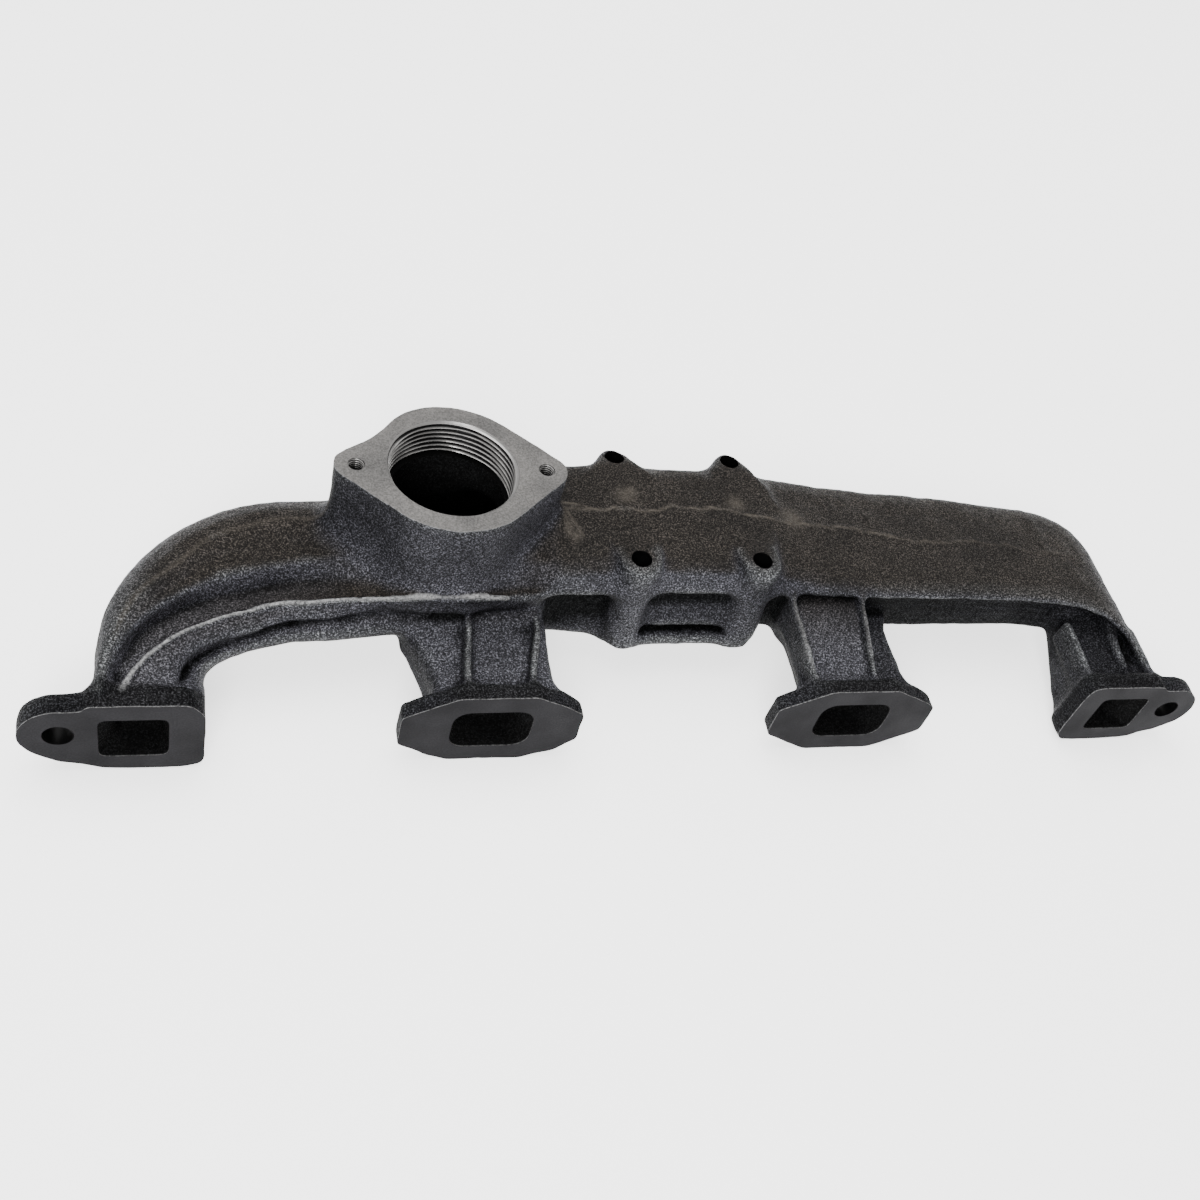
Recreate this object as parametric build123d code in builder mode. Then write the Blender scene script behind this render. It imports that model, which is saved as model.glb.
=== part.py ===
from build123d import *
import os

# Log-style cast-iron exhaust manifold for an in-line engine with four exhaust ports.
# The casting is divided at its natural section planes into named solids that meet face to face.
# Millimetres. Frame: the origin lies on the cylinder-head face, midway between the two end stud holes.
# +X runs along the engine towards the right end, +Y points away from the head, +Z points up.

# ---------------------------------------------------------------- driving dimensions
PORT_Z = -3.6  # the port centres lie this far below the end stud holes
CENTRE_PORT_X = 105.2
END_PORT_X = 284.2
PORT_HEIGHT = 30.1
CENTRE_PORT_WIDTH = 43.6
CENTRE_PORT_CORNER = 9.0
END_PORT_WIDTH = 33.2
END_PORT_CORNER = 3.0

STUD_X = 318.8
STUD_HOLE_RADIUS = 7.4
EAR_RADIUS = 18.5

CENTRE_FLANGE_THICKNESS = 11.0
CENTRE_FLANGE_HALF_LENGTH = 48.6
CENTRE_FLANGE_FLAT_HALF_LENGTH = 20.6
CENTRE_FLANGE_HALF_HEIGHT = 27.0
CENTRE_FLANGE_TIP_HALF_HEIGHT = 11.3
CENTRE_FLANGE_CORNER = 3.0

END_FLANGE_THICKNESS = 13.0
END_FLANGE_INNER_X = 254.4
END_FLANGE_STEP_X = 306.7
END_FLANGE_TOP = 22.4
END_FLANGE_BOTTOM = -29.1
END_FLANGE_SWEEP_X = 290.0
END_FLANGE_TOP_CORNER = 15.0
END_FLANGE_BOTTOM_CORNER = 8.0
END_FLANGE_SWEEP_CORNER = 10.0

WALL = 6.0
LOG_FRONT = 61.0
LOG_BACK = 147.0
LOG_MIDDLE = (LOG_FRONT + LOG_BACK) / 2
LOG_FLOOR = -2.0
FLOOR_BEVEL = 10.0
RUNNER_INNER_X = 250.0
RUNNER_OUTER_X = 306.0
RUNNER_ROOF = 18.4
ELBOW_FLOOR = -27.0
ELBOW_RAMP_START_Y = 66.0
ELBOW_RAMP_END_Y = 92.0
ROOF_RISE_RUN = 10.0
LEFT_BEND = 104.0
LEFT_INNER_BEND = 10.0
LEFT_RUNNER_Y = 40.0
RIGHT_BEND = 43.0
RIGHT_INNER_BEND = 8.0
RIGHT_RUNNER_Y = 48.0
ELBOW_OPENING = 2.0
LEFT_ARM_X = -196.0
CHAMBER_END_X = -50.0
BOLTING_END_X = 66.0
RIGHT_ARM_X = 215.0

PAD_TOP = 57.2
PAD_LEFT_X = -22.7
PAD_RIGHT_X = 48.7
PAD_FRONT_Y = 67.5
PAD_REAR_Y = 145.0
PAD_HOLE_RADIUS = 5.85
FRONT_COLUMN_RADIUS = 13.0
REAR_COLUMN_RADIUS = 8.5
LOWER_PAD_THICKNESS = 3.0
LOWER_PAD_BOTTOM = LOG_FLOOR - LOWER_PAD_THICKNESS
COLUMN_HEIGHT = PAD_TOP - LOG_FLOOR
PAD_BEVEL = 8.0
LIP_TOP = 7.4
LIP_FRONT = 56.0

OUTLET_X = -126.4
OUTLET_Y = 103.5
OUTLET_FACE = 86.9
OUTLET_FLANGE_THICKNESS = 24.0
OUTLET_BORE_RADIUS = 33.5
NECK_BORE_RADIUS = 31.0
OUTLET_BARREL_RADIUS = 45.7
OUTLET_TIP_RADIUS = 11.0
OUTLET_HALF_LENGTH = 62.0
OUTLET_BOLT_OFFSET = 50.4
OUTLET_BOLT_RADIUS = 4.0
OUTLET_BOLT_DEPTH = 20.0
NECK_TOP = OUTLET_FACE - OUTLET_FLANGE_THICKNESS
NECK_BASE = 32.0
NECK_FLARE = 4.0

RIB_OFFSET = 19.5
RIB_WIDTH = 7.0
RIB_TOP = 22.6
LEFT_RIB_RISE = 0.0
RIGHT_RIB_RISE = 9.0
RUNNER_NECK_WIDTH = 70.0
RUNNER_MOUTH_WIDTH = 76.0
RUNNER_FLOOR = PORT_Z - PORT_HEIGHT / 2 - WALL
RUNNER_END_Y = 96.0

# The log's crown and shoulder heights at each section plane: x, crown, shoulder.
LEFT_ARM = (LEFT_ARM_X, 45.0, 30.0)
CHAMBER_END = (CHAMBER_END_X, 58.0, 42.0)
BOLTING_START = (CHAMBER_END_X, 55.0, 42.0)
BOLTING_END = (BOLTING_END_X, 50.0, 36.0)
RIGHT_ARM = (RIGHT_ARM_X, 38.0, 29.0)

os.makedirs("parts", exist_ok=True)


def write(builder, label):
    builder.part.label = label
    export_step(builder.part, "parts/" + label + ".step")


# ---------------------------------------------------------------- flanges on the cylinder head
def port_outline(x, width, corner):
    with BuildSketch(Plane((0, 0, 0), (1, 0, 0), (0, -1, 0))) as port:
        with Locations((x, PORT_Z)):
            RectangleRounded(width, PORT_HEIGHT, corner)
    return port.sketch


def centre_flange(x):
    with BuildPart() as flange:
        with BuildSketch(Plane((x, 0, PORT_Z), (1, 0, 0), (0, -1, 0))) as outline:
            with BuildLine():
                Polyline(
                    (-CENTRE_FLANGE_HALF_LENGTH, -CENTRE_FLANGE_TIP_HALF_HEIGHT),
                    (-CENTRE_FLANGE_FLAT_HALF_LENGTH, -CENTRE_FLANGE_HALF_HEIGHT),
                    (CENTRE_FLANGE_FLAT_HALF_LENGTH, -CENTRE_FLANGE_HALF_HEIGHT),
                    (CENTRE_FLANGE_HALF_LENGTH, -CENTRE_FLANGE_TIP_HALF_HEIGHT),
                    (CENTRE_FLANGE_HALF_LENGTH, CENTRE_FLANGE_TIP_HALF_HEIGHT),
                    (CENTRE_FLANGE_FLAT_HALF_LENGTH, CENTRE_FLANGE_HALF_HEIGHT),
                    (-CENTRE_FLANGE_FLAT_HALF_LENGTH, CENTRE_FLANGE_HALF_HEIGHT),
                    (-CENTRE_FLANGE_HALF_LENGTH, CENTRE_FLANGE_TIP_HALF_HEIGHT),
                    close=True,
                )
            make_face()
            fillet(outline.vertices(), CENTRE_FLANGE_CORNER)
        extrude(amount=-CENTRE_FLANGE_THICKNESS)
        extrude(
            port_outline(x, CENTRE_PORT_WIDTH, CENTRE_PORT_CORNER),
            amount=-CENTRE_FLANGE_THICKNESS,
            mode=Mode.SUBTRACT,
        )
    return flange


def end_flange(side):
    with BuildPart() as flange:
        with BuildSketch(Plane((0, 0, 0), (1, 0, 0), (0, -1, 0))) as outline:
            with BuildLine():
                Polyline(
                    (side * STUD_X, EAR_RADIUS),
                    (side * END_FLANGE_STEP_X, EAR_RADIUS),
                    (side * END_FLANGE_STEP_X, END_FLANGE_TOP),
                    (side * END_FLANGE_INNER_X, END_FLANGE_TOP),
                    (side * END_FLANGE_INNER_X, END_FLANGE_BOTTOM),
                    (side * END_FLANGE_SWEEP_X, END_FLANGE_BOTTOM),
                    (side * STUD_X, -EAR_RADIUS),
                    close=True,
                )
            make_face()
            inner_top = outline.vertices().sort_by_distance((side * END_FLANGE_INNER_X, END_FLANGE_TOP))[0]
            fillet(inner_top, END_FLANGE_TOP_CORNER)
            inner_bottom = outline.vertices().sort_by_distance((side * END_FLANGE_INNER_X, END_FLANGE_BOTTOM))[0]
            fillet(inner_bottom, END_FLANGE_BOTTOM_CORNER)
            sweep_corner = outline.vertices().sort_by_distance((side * END_FLANGE_SWEEP_X, END_FLANGE_BOTTOM))[0]
            fillet(sweep_corner, END_FLANGE_SWEEP_CORNER)
            with Locations((side * STUD_X, 0)):
                Circle(EAR_RADIUS)
                Circle(STUD_HOLE_RADIUS, mode=Mode.SUBTRACT)
        extrude(amount=-END_FLANGE_THICKNESS)
        extrude(
            port_outline(side * END_PORT_X, END_PORT_WIDTH, END_PORT_CORNER),
            amount=-END_FLANGE_THICKNESS,
            mode=Mode.SUBTRACT,
        )
    return flange


left_end_flange = end_flange(-1)
write(left_end_flange, "left_end_flange")
centre_left_flange = centre_flange(-CENTRE_PORT_X)
write(centre_left_flange, "centre_left_flange")
centre_right_flange = centre_flange(CENTRE_PORT_X)
write(centre_right_flange, "centre_right_flange")
right_end_flange = end_flange(1)
write(right_end_flange, "right_end_flange")


# ---------------------------------------------------------------- the log's cross-section
def log_section(station, inset):
    """The log's outline at a station, drawn in a little all round by inset."""
    x, crown, shoulder = station
    front = LOG_FRONT + inset
    back = LOG_BACK - inset
    floor = LOG_FLOOR + inset
    with BuildSketch(Plane.YZ.offset(x)) as section:
        with BuildLine():
            ThreePointArc((front, shoulder - inset), (LOG_MIDDLE, crown - inset), (back, shoulder - inset))
            Polyline(
                (back, shoulder - inset),
                (back, floor + FLOOR_BEVEL),
                (back - FLOOR_BEVEL, floor),
                (front + FLOOR_BEVEL, floor),
                (front, floor + FLOOR_BEVEL),
                (front, shoulder - inset),
            )
        make_face()
    return section.sketch


def mouth_outline(x, y, width, floor, roof, corner):
    """A rounded rectangle across a runner's passage or wall, facing the head."""
    with BuildSketch(Plane((x, y, (floor + roof) / 2), (1, 0, 0), (0, -1, 0))) as mouth:
        RectangleRounded(width, roof - floor, corner)
    return mouth.sketch


def centre_passage(x):
    """The gas passage from a centre port, through the log's front wall and floor."""
    with BuildPart() as passage:
        loft([
            mouth_outline(
                x,
                CENTRE_FLANGE_THICKNESS,
                CENTRE_PORT_WIDTH,
                RUNNER_FLOOR + WALL,
                RUNNER_FLOOR + WALL + PORT_HEIGHT,
                CENTRE_PORT_CORNER,
            ),
            mouth_outline(
                x,
                RUNNER_END_Y - WALL,
                RUNNER_MOUTH_WIDTH - 4 * WALL,
                RUNNER_FLOOR + WALL,
                RUNNER_ROOF - WALL,
                CENTRE_PORT_CORNER,
            ),
        ])
    return passage


# ---------------------------------------------------------------- the straight parts of the log
with BuildPart() as outlet_chamber:
    loft([log_section(LEFT_ARM, 0), log_section(CHAMBER_END, 0)])
    loft([log_section(LEFT_ARM, WALL), log_section(CHAMBER_END, WALL)], mode=Mode.SUBTRACT)
    with BuildSketch(Plane.XY.offset(LOG_FLOOR + WALL)):
        with Locations((OUTLET_X, OUTLET_Y)):
            Circle(NECK_BORE_RADIUS)
    extrude(amount=OUTLET_FACE, mode=Mode.SUBTRACT)
    add(centre_passage(-CENTRE_PORT_X).part, mode=Mode.SUBTRACT)
write(outlet_chamber, "outlet_chamber")

with BuildPart() as right_log_section:
    loft([log_section(BOLTING_END, 0), log_section(RIGHT_ARM, 0)])
    loft([log_section(BOLTING_END, WALL), log_section(RIGHT_ARM, WALL)], mode=Mode.SUBTRACT)
    add(centre_passage(CENTRE_PORT_X).part, mode=Mode.SUBTRACT)
write(right_log_section, "right_log_section")

BOLT_COLUMNS = [
    ("front_left_bolt_column", PAD_LEFT_X, PAD_FRONT_Y, FRONT_COLUMN_RADIUS),
    ("front_right_bolt_column", PAD_RIGHT_X, PAD_FRONT_Y, FRONT_COLUMN_RADIUS),
    ("rear_left_bolt_column", PAD_LEFT_X, PAD_REAR_Y, REAR_COLUMN_RADIUS),
    ("rear_right_bolt_column", PAD_RIGHT_X, PAD_REAR_Y, REAR_COLUMN_RADIUS),
]

with BuildPart() as bolting_chamber:
    with BuildSketch(Plane.YZ.offset(CHAMBER_END_X)):
        with BuildLine():
            Polyline(
                (LOG_FRONT, CHAMBER_END[2]),
                (LOG_FRONT + PAD_BEVEL, PAD_TOP),
                (LOG_BACK - PAD_BEVEL, PAD_TOP),
                (LOG_BACK, CHAMBER_END[2]),
                (LOG_BACK, LOG_FLOOR + FLOOR_BEVEL),
                (LOG_BACK - FLOOR_BEVEL, LOG_FLOOR),
                (LOG_FRONT + FLOOR_BEVEL, LOG_FLOOR),
                (LOG_FRONT, LOG_FLOOR + FLOOR_BEVEL),
                close=True,
            )
        make_face()
    extrude(amount=BOLTING_END_X - CHAMBER_END_X)
    loft([log_section(BOLTING_START, WALL), log_section(BOLTING_END, WALL)], mode=Mode.SUBTRACT)
    with BuildSketch(Plane((0, LIP_FRONT, 0), (1, 0, 0), (0, -1, 0))):
        with Locations(((PAD_LEFT_X + PAD_RIGHT_X) / 2, (LIP_TOP + LOG_FLOOR) / 2)):
            Rectangle(PAD_RIGHT_X - PAD_LEFT_X, LIP_TOP - LOG_FLOOR)
    extrude(amount=LIP_FRONT - LOG_FRONT - FLOOR_BEVEL)
    for label, x, y, radius in BOLT_COLUMNS:
        with Locations((x, y, LOG_FLOOR + COLUMN_HEIGHT / 2)):
            Cylinder(radius, COLUMN_HEIGHT, mode=Mode.SUBTRACT)
write(bolting_chamber, "bolting_chamber")


# ---------------------------------------------------------------- elbows at the two ends of the log
def elbow_shape(side, station, inset, bend, inner_bend, runner_y, opened):
    """An L-shaped plan outline, cut to the log's crowned profile. opened lengthens both mouths."""
    x, crown, shoulder = station
    joint_x = abs(x) - opened
    mouth_y = runner_y - opened
    inner_x = RUNNER_INNER_X + inset
    outer_x = RUNNER_OUTER_X - inset
    front = LOG_FRONT + inset
    back = LOG_BACK - inset
    floor = LOG_FLOOR + inset
    low_floor = ELBOW_FLOOR + inset
    with BuildPart() as shape:
        with BuildSketch(Plane.XY.offset(low_floor)) as plan:
            with BuildLine():
                Polyline(
                    (side * joint_x, front),
                    (side * inner_x, front),
                    (side * inner_x, mouth_y),
                    (side * outer_x, mouth_y),
                    (side * outer_x, back),
                    (side * joint_x, back),
                    close=True,
                )
            make_face()
            outer_corner = plan.vertices().sort_by_distance((side * outer_x, back))[0]
            fillet(outer_corner, bend - inset)
            inner_corner = plan.vertices().sort_by_distance((side * inner_x, front))[0]
            fillet(inner_corner, inner_bend)
        extrude(amount=crown - low_floor)
        with BuildSketch(Plane.YZ.offset(side * joint_x)):
            with BuildLine():
                ThreePointArc((front, shoulder - inset), (LOG_MIDDLE, crown - inset), (back, shoulder - inset))
                Polyline(
                    (back, shoulder - inset),
                    (back, floor + FLOOR_BEVEL),
                    (back - FLOOR_BEVEL, floor),
                    (ELBOW_RAMP_END_Y, floor),
                    (ELBOW_RAMP_START_Y, low_floor),
                    (mouth_y, low_floor),
                    (mouth_y, RUNNER_ROOF - inset),
                    (front - ROOF_RISE_RUN, RUNNER_ROOF - inset),
                    (front, shoulder - inset),
                )
            make_face()
        extrude(amount=side * (outer_x - joint_x), mode=Mode.INTERSECT)
    return shape


def elbow(side, station, bend, inner_bend, runner_y):
    outside = elbow_shape(side, station, 0, bend, inner_bend, runner_y, 0)
    cavity = elbow_shape(side, station, WALL, bend, inner_bend, runner_y, ELBOW_OPENING)
    with BuildPart() as bent:
        add(outside.part)
        add(cavity.part, mode=Mode.SUBTRACT)
    return bent


left_log_elbow = elbow(-1, LEFT_ARM, LEFT_BEND, LEFT_INNER_BEND, LEFT_RUNNER_Y)
write(left_log_elbow, "left_log_elbow")
right_log_elbow = elbow(1, RIGHT_ARM, RIGHT_BEND, RIGHT_INNER_BEND, RIGHT_RUNNER_Y)
write(right_log_elbow, "right_log_elbow")


# ---------------------------------------------------------------- runners from the flanges to the log
def end_runner(side, runner_y):
    middle_x = side * (RUNNER_INNER_X + RUNNER_OUTER_X) / 2
    width = RUNNER_OUTER_X - RUNNER_INNER_X
    port_wall = 2 * WALL
    with BuildPart() as runner:
        loft([
            mouth_outline(
                side * END_PORT_X,
                END_FLANGE_THICKNESS,
                END_PORT_WIDTH + port_wall,
                PORT_Z - PORT_HEIGHT / 2 - WALL,
                PORT_Z + PORT_HEIGHT / 2 + WALL,
                END_PORT_CORNER,
            ),
            mouth_outline(middle_x, runner_y, width, ELBOW_FLOOR, RUNNER_ROOF, END_PORT_CORNER),
        ])
        loft(
            [
                mouth_outline(
                    side * END_PORT_X,
                    END_FLANGE_THICKNESS,
                    END_PORT_WIDTH,
                    PORT_Z - PORT_HEIGHT / 2,
                    PORT_Z + PORT_HEIGHT / 2,
                    END_PORT_CORNER,
                ),
                mouth_outline(
                    middle_x, runner_y, width - port_wall, ELBOW_FLOOR + WALL, RUNNER_ROOF - WALL, END_PORT_CORNER
                ),
            ],
            mode=Mode.SUBTRACT,
        )
    return runner


def centre_runner(x, rib_rise, log_from, log_to):
    """A runner that enters the log from below and in front. Its two roof ribs rise towards the log by rib_rise."""
    with BuildPart() as runner:
        loft([
            mouth_outline(
                x, CENTRE_FLANGE_THICKNESS, RUNNER_NECK_WIDTH, RUNNER_FLOOR, RUNNER_ROOF, CENTRE_PORT_CORNER
            ),
            mouth_outline(x, RUNNER_END_Y, RUNNER_MOUTH_WIDTH, RUNNER_FLOOR, RUNNER_ROOF, CENTRE_PORT_CORNER),
        ])
        with BuildSketch(Plane.YZ.offset(x - RIB_WIDTH / 2)):
            with BuildLine():
                Polyline(
                    (CENTRE_FLANGE_THICKNESS, RUNNER_ROOF - WALL / 2),
                    (CENTRE_FLANGE_THICKNESS, RIB_TOP),
                    (LOG_FRONT, RIB_TOP + rib_rise),
                    (LOG_FRONT, RUNNER_ROOF - WALL / 2),
                    close=True,
                )
            make_face()
        rib = extrude(amount=RIB_WIDTH, mode=Mode.PRIVATE)
        for offset_x in (-RIB_OFFSET, RIB_OFFSET):
            add(rib.moved(Location((offset_x, 0, 0))))
        add(centre_passage(x).part, mode=Mode.SUBTRACT)
        loft([log_section(log_from, 0), log_section(log_to, 0)], mode=Mode.SUBTRACT)
    return runner


left_end_runner = end_runner(-1, LEFT_RUNNER_Y)
write(left_end_runner, "left_end_runner")
centre_left_runner = centre_runner(-CENTRE_PORT_X, LEFT_RIB_RISE, LEFT_ARM, CHAMBER_END)
write(centre_left_runner, "centre_left_runner")
centre_right_runner = centre_runner(CENTRE_PORT_X, RIGHT_RIB_RISE, BOLTING_END, RIGHT_ARM)
write(centre_right_runner, "centre_right_runner")
right_end_runner = end_runner(1, RIGHT_RUNNER_Y)
write(right_end_runner, "right_end_runner")


# ---------------------------------------------------------------- outlet
def outlet_outline(z, barrel, tip, half_length):
    """A round barrel with two pointed ears, as the flange of a two-bolt pipe joint."""
    with BuildSketch(Plane((OUTLET_X, OUTLET_Y, z))) as outline:
        Circle(barrel)
        with Locations((-half_length + tip, 0), (half_length - tip, 0)):
            Circle(tip)
        make_hull()
    return outline.sketch


with BuildPart() as outlet_flange:
    extrude(
        outlet_outline(NECK_TOP, OUTLET_BARREL_RADIUS, OUTLET_TIP_RADIUS, OUTLET_HALF_LENGTH),
        amount=OUTLET_FLANGE_THICKNESS,
    )
    with Locations((OUTLET_X, OUTLET_Y, OUTLET_FACE - OUTLET_FLANGE_THICKNESS / 2)):
        Cylinder(OUTLET_BORE_RADIUS, OUTLET_FLANGE_THICKNESS, mode=Mode.SUBTRACT)
    with Locations(
        (OUTLET_X - OUTLET_BOLT_OFFSET, OUTLET_Y, OUTLET_FACE - OUTLET_BOLT_DEPTH / 2),
        (OUTLET_X + OUTLET_BOLT_OFFSET, OUTLET_Y, OUTLET_FACE - OUTLET_BOLT_DEPTH / 2),
    ):
        Cylinder(OUTLET_BOLT_RADIUS, OUTLET_BOLT_DEPTH, mode=Mode.SUBTRACT)
write(outlet_flange, "outlet_flange")

with BuildPart() as outlet_neck:
    loft([
        outlet_outline(
            NECK_BASE,
            OUTLET_BARREL_RADIUS - NECK_FLARE,
            OUTLET_TIP_RADIUS + NECK_FLARE,
            OUTLET_HALF_LENGTH + NECK_FLARE,
        ),
        outlet_outline(NECK_TOP, OUTLET_BARREL_RADIUS, OUTLET_TIP_RADIUS, OUTLET_HALF_LENGTH),
    ])
    loft([log_section(LEFT_ARM, 0), log_section(CHAMBER_END, 0)], mode=Mode.SUBTRACT)
    with Locations((OUTLET_X, OUTLET_Y, (NECK_BASE + NECK_TOP) / 2)):
        Cylinder(NECK_BORE_RADIUS, NECK_TOP - NECK_BASE, mode=Mode.SUBTRACT)
write(outlet_neck, "outlet_neck")


# ---------------------------------------------------------------- bolt columns and the lower pad
def bolt_column(x, y, radius):
    with BuildPart() as column:
        with BuildSketch(Plane((x, y, LOG_FLOOR))):
            Circle(radius)
            Circle(PAD_HOLE_RADIUS, mode=Mode.SUBTRACT)
        extrude(amount=COLUMN_HEIGHT)
    return column


for label, x, y, radius in BOLT_COLUMNS:
    write(bolt_column(x, y, radius), label)

PAD_MIDDLE_X = (PAD_LEFT_X + PAD_RIGHT_X) / 2
PAD_MIDDLE_Y = (PAD_FRONT_Y + PAD_REAR_Y) / 2
PAD_SPACING_X = PAD_RIGHT_X - PAD_LEFT_X
PAD_SPACING_Y = PAD_REAR_Y - PAD_FRONT_Y

with BuildPart() as lower_mounting_pad:
    with BuildSketch(Plane((PAD_MIDDLE_X, PAD_MIDDLE_Y, LOWER_PAD_BOTTOM))):
        RectangleRounded(
            PAD_SPACING_X + 2 * FRONT_COLUMN_RADIUS, PAD_SPACING_Y + 2 * FRONT_COLUMN_RADIUS, FRONT_COLUMN_RADIUS
        )
        with GridLocations(PAD_SPACING_X, PAD_SPACING_Y, 2, 2):
            Circle(PAD_HOLE_RADIUS, mode=Mode.SUBTRACT)
    extrude(amount=LOWER_PAD_THICKNESS)
write(lower_mounting_pad, "lower_mounting_pad")
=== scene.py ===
import math

import bmesh
import bpy
import numpy as np
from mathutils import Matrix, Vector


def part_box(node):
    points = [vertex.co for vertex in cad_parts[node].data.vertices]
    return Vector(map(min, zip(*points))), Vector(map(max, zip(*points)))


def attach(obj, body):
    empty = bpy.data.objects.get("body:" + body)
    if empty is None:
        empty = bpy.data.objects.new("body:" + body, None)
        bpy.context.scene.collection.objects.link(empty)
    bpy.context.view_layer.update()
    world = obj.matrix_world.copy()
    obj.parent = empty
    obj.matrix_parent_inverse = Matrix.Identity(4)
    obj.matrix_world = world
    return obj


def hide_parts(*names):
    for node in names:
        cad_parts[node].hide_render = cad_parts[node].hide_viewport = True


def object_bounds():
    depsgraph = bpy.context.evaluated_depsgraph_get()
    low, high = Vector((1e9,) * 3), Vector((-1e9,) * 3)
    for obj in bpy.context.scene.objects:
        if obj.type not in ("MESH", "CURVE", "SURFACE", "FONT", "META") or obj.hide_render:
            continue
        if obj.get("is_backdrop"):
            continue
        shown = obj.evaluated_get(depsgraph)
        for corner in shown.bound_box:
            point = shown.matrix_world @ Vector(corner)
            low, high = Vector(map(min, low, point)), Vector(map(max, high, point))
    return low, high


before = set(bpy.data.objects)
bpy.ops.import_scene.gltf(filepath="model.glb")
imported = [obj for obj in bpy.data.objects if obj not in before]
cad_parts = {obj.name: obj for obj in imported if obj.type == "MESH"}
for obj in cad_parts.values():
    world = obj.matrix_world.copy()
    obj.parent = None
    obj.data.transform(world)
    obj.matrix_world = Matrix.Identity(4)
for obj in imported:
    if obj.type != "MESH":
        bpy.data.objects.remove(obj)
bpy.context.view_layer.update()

import openvdb
from mathutils import Matrix, Vector

# The whole casting is one distance field on a regular grid, because a real casting is one skin with
# soft fillets everywhere. The skin is made into a mesh once and then cut into one piece per CAD node.
# Lengths in the field are millimetres. Its x and y are the frame's. Its z is measured from the ports'
# centres, and is moved down to the frame's z when the mesh is made.
MM = 0.001
CELL = 1.5
FAR = 40.0
WALL = 6.0
FIELD_LOW = (-342, -9, -34)
FIELD_HIGH = (342, 160, 96)
FRONT, BELOW = FIELD_LOW[1:]
BACK, ABOVE = FIELD_HIGH[1:]


def corner(node, end, axis):
    """One coordinate of the low (0) or high (1) corner of a node's box, in millimetres."""
    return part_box(node)[end][axis] / MM


def box_middle(node, axis):
    return (corner(node, 0, axis) + corner(node, 1, axis)) / 2


def box_half(node, axis):
    return (corner(node, 1, axis) - corner(node, 0, axis)) / 2


# ---- dimensions taken from the frame
PORT_Z = box_middle("centre_left_flange", 2)
CENTRE_PORT_X = box_middle("centre_right_flange", 0)
CENTRE_FLANGE_BACK = corner("centre_right_flange", 1, 1)
CENTRE_HALF_LENGTH = box_half("centre_right_flange", 0)
CENTRE_HALF_HEIGHT = box_half("centre_right_flange", 2)
END_FLANGE_BACK = corner("right_end_flange", 1, 1)
END_INNER_X = corner("right_end_flange", 0, 0)
END_OUTER_X = corner("right_end_flange", 1, 0)
END_TOP = corner("right_end_flange", 1, 2) - PORT_Z
END_BOTTOM = corner("right_end_flange", 0, 2) - PORT_Z
OUTLET_X = box_middle("outlet_flange", 0)
OUTLET_Y = box_middle("outlet_flange", 1)
OUTLET_HALF_LENGTH = box_half("outlet_flange", 0)
OUTLET_BARREL = box_half("outlet_flange", 1)
OUTLET_FACE = corner("outlet_flange", 1, 2) - PORT_Z
OUTLET_BASE = corner("outlet_flange", 0, 2) - PORT_Z
PAD_TOP = corner("front_left_bolt_column", 1, 2) - PORT_Z
PAD_BOTTOM = corner("lower_mounting_pad", 0, 2) - PORT_Z
LEFT_CUT = corner("outlet_chamber", 0, 0)
CHAMBER_CUT = corner("bolting_chamber", 0, 0)
BOLTING_CUT = corner("right_log_section", 0, 0)
RIGHT_CUT = corner("right_log_section", 1, 0)

# ---- dimensions the frame doesn't give
END_PORT_X = 284.2
PORT_HEIGHT = 30.1
CENTRE_PORT = (43.6, 9.0)
END_PORT = (33.2, 3.0)
EAR_RADIUS = 18.5
STUD_X = END_OUTER_X - EAR_RADIUS
STUD_Z = -PORT_Z
STUD_RADIUS = 7.4
OUTLET_TIP = 11.0
OUTLET_BOLT = (50.4, 4.0, 20.0)
BORE_RADIUS = 31.0
THREAD_RADIUS = 33.5
THREAD_PITCH = 25.4 / 8
PAD_X = (-22.7, 48.7)
PAD_FRONT_Y = 67.5
PAD_REAR_Y = 145.0
PAD_HOLE = 5.85

MIDDLE_Y = 104.0
LEFT_BEND_X = -206.0
LEFT_BEND_Y = 32.0
LEFT_BEND_RADIUS = MIDDLE_Y - LEFT_BEND_Y
LEFT_BEND_LENGTH = LEFT_BEND_RADIUS * math.pi / 2
STYLE_START = -78.0
STYLE_END = -66.0


# ---- distance field
SHAPE = [int(math.ceil((b - a) / CELL)) + 1 for a, b in zip(FIELD_LOW, FIELD_HIGH)]
AXES = [a + CELL * np.arange(n, dtype=np.float32) for a, n in zip(FIELD_LOW, SHAPE)]


def window(low, high):
    """The part of the grid inside a box, and its coordinates, ready to broadcast."""
    part = []
    for axis, a, b in zip(AXES, low, high):
        part.append(slice(int(np.searchsorted(axis, a)), int(np.searchsorted(axis, b))))
    x, y, z = (axis[s] for axis, s in zip(AXES, part))
    return tuple(part), x[:, None, None], y[None, :, None], z[None, None, :]


def add(field, low, high, blend, shape, *details):
    """Joins a shape to a field inside a box. The details are the shape's own sizes."""
    part, x, y, z = window(low, high)
    field[part] = joined(field[part], shape(x, y, z, *details), blend)


def cut(field, low, high, blend, shape, *details):
    part, x, y, z = window(low, high)
    field[part] = -joined(-field[part], shape(x, y, z, *details), blend)


def joined(a, b, blend):
    """The union of two distances, with a fillet about as wide as the blend."""
    if blend <= 0:
        return np.minimum(a, b)
    mix = np.clip(0.5 + 0.5 * (a - b) / blend, 0, 1)
    return a + (b - a) * mix - blend * mix * (1 - mix)


def progress(value, start, end):
    """How far a value is on its way from start to end: 0 before it, 1 past it."""
    return np.clip((value - start) / (end - start), 0, 1)


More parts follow.
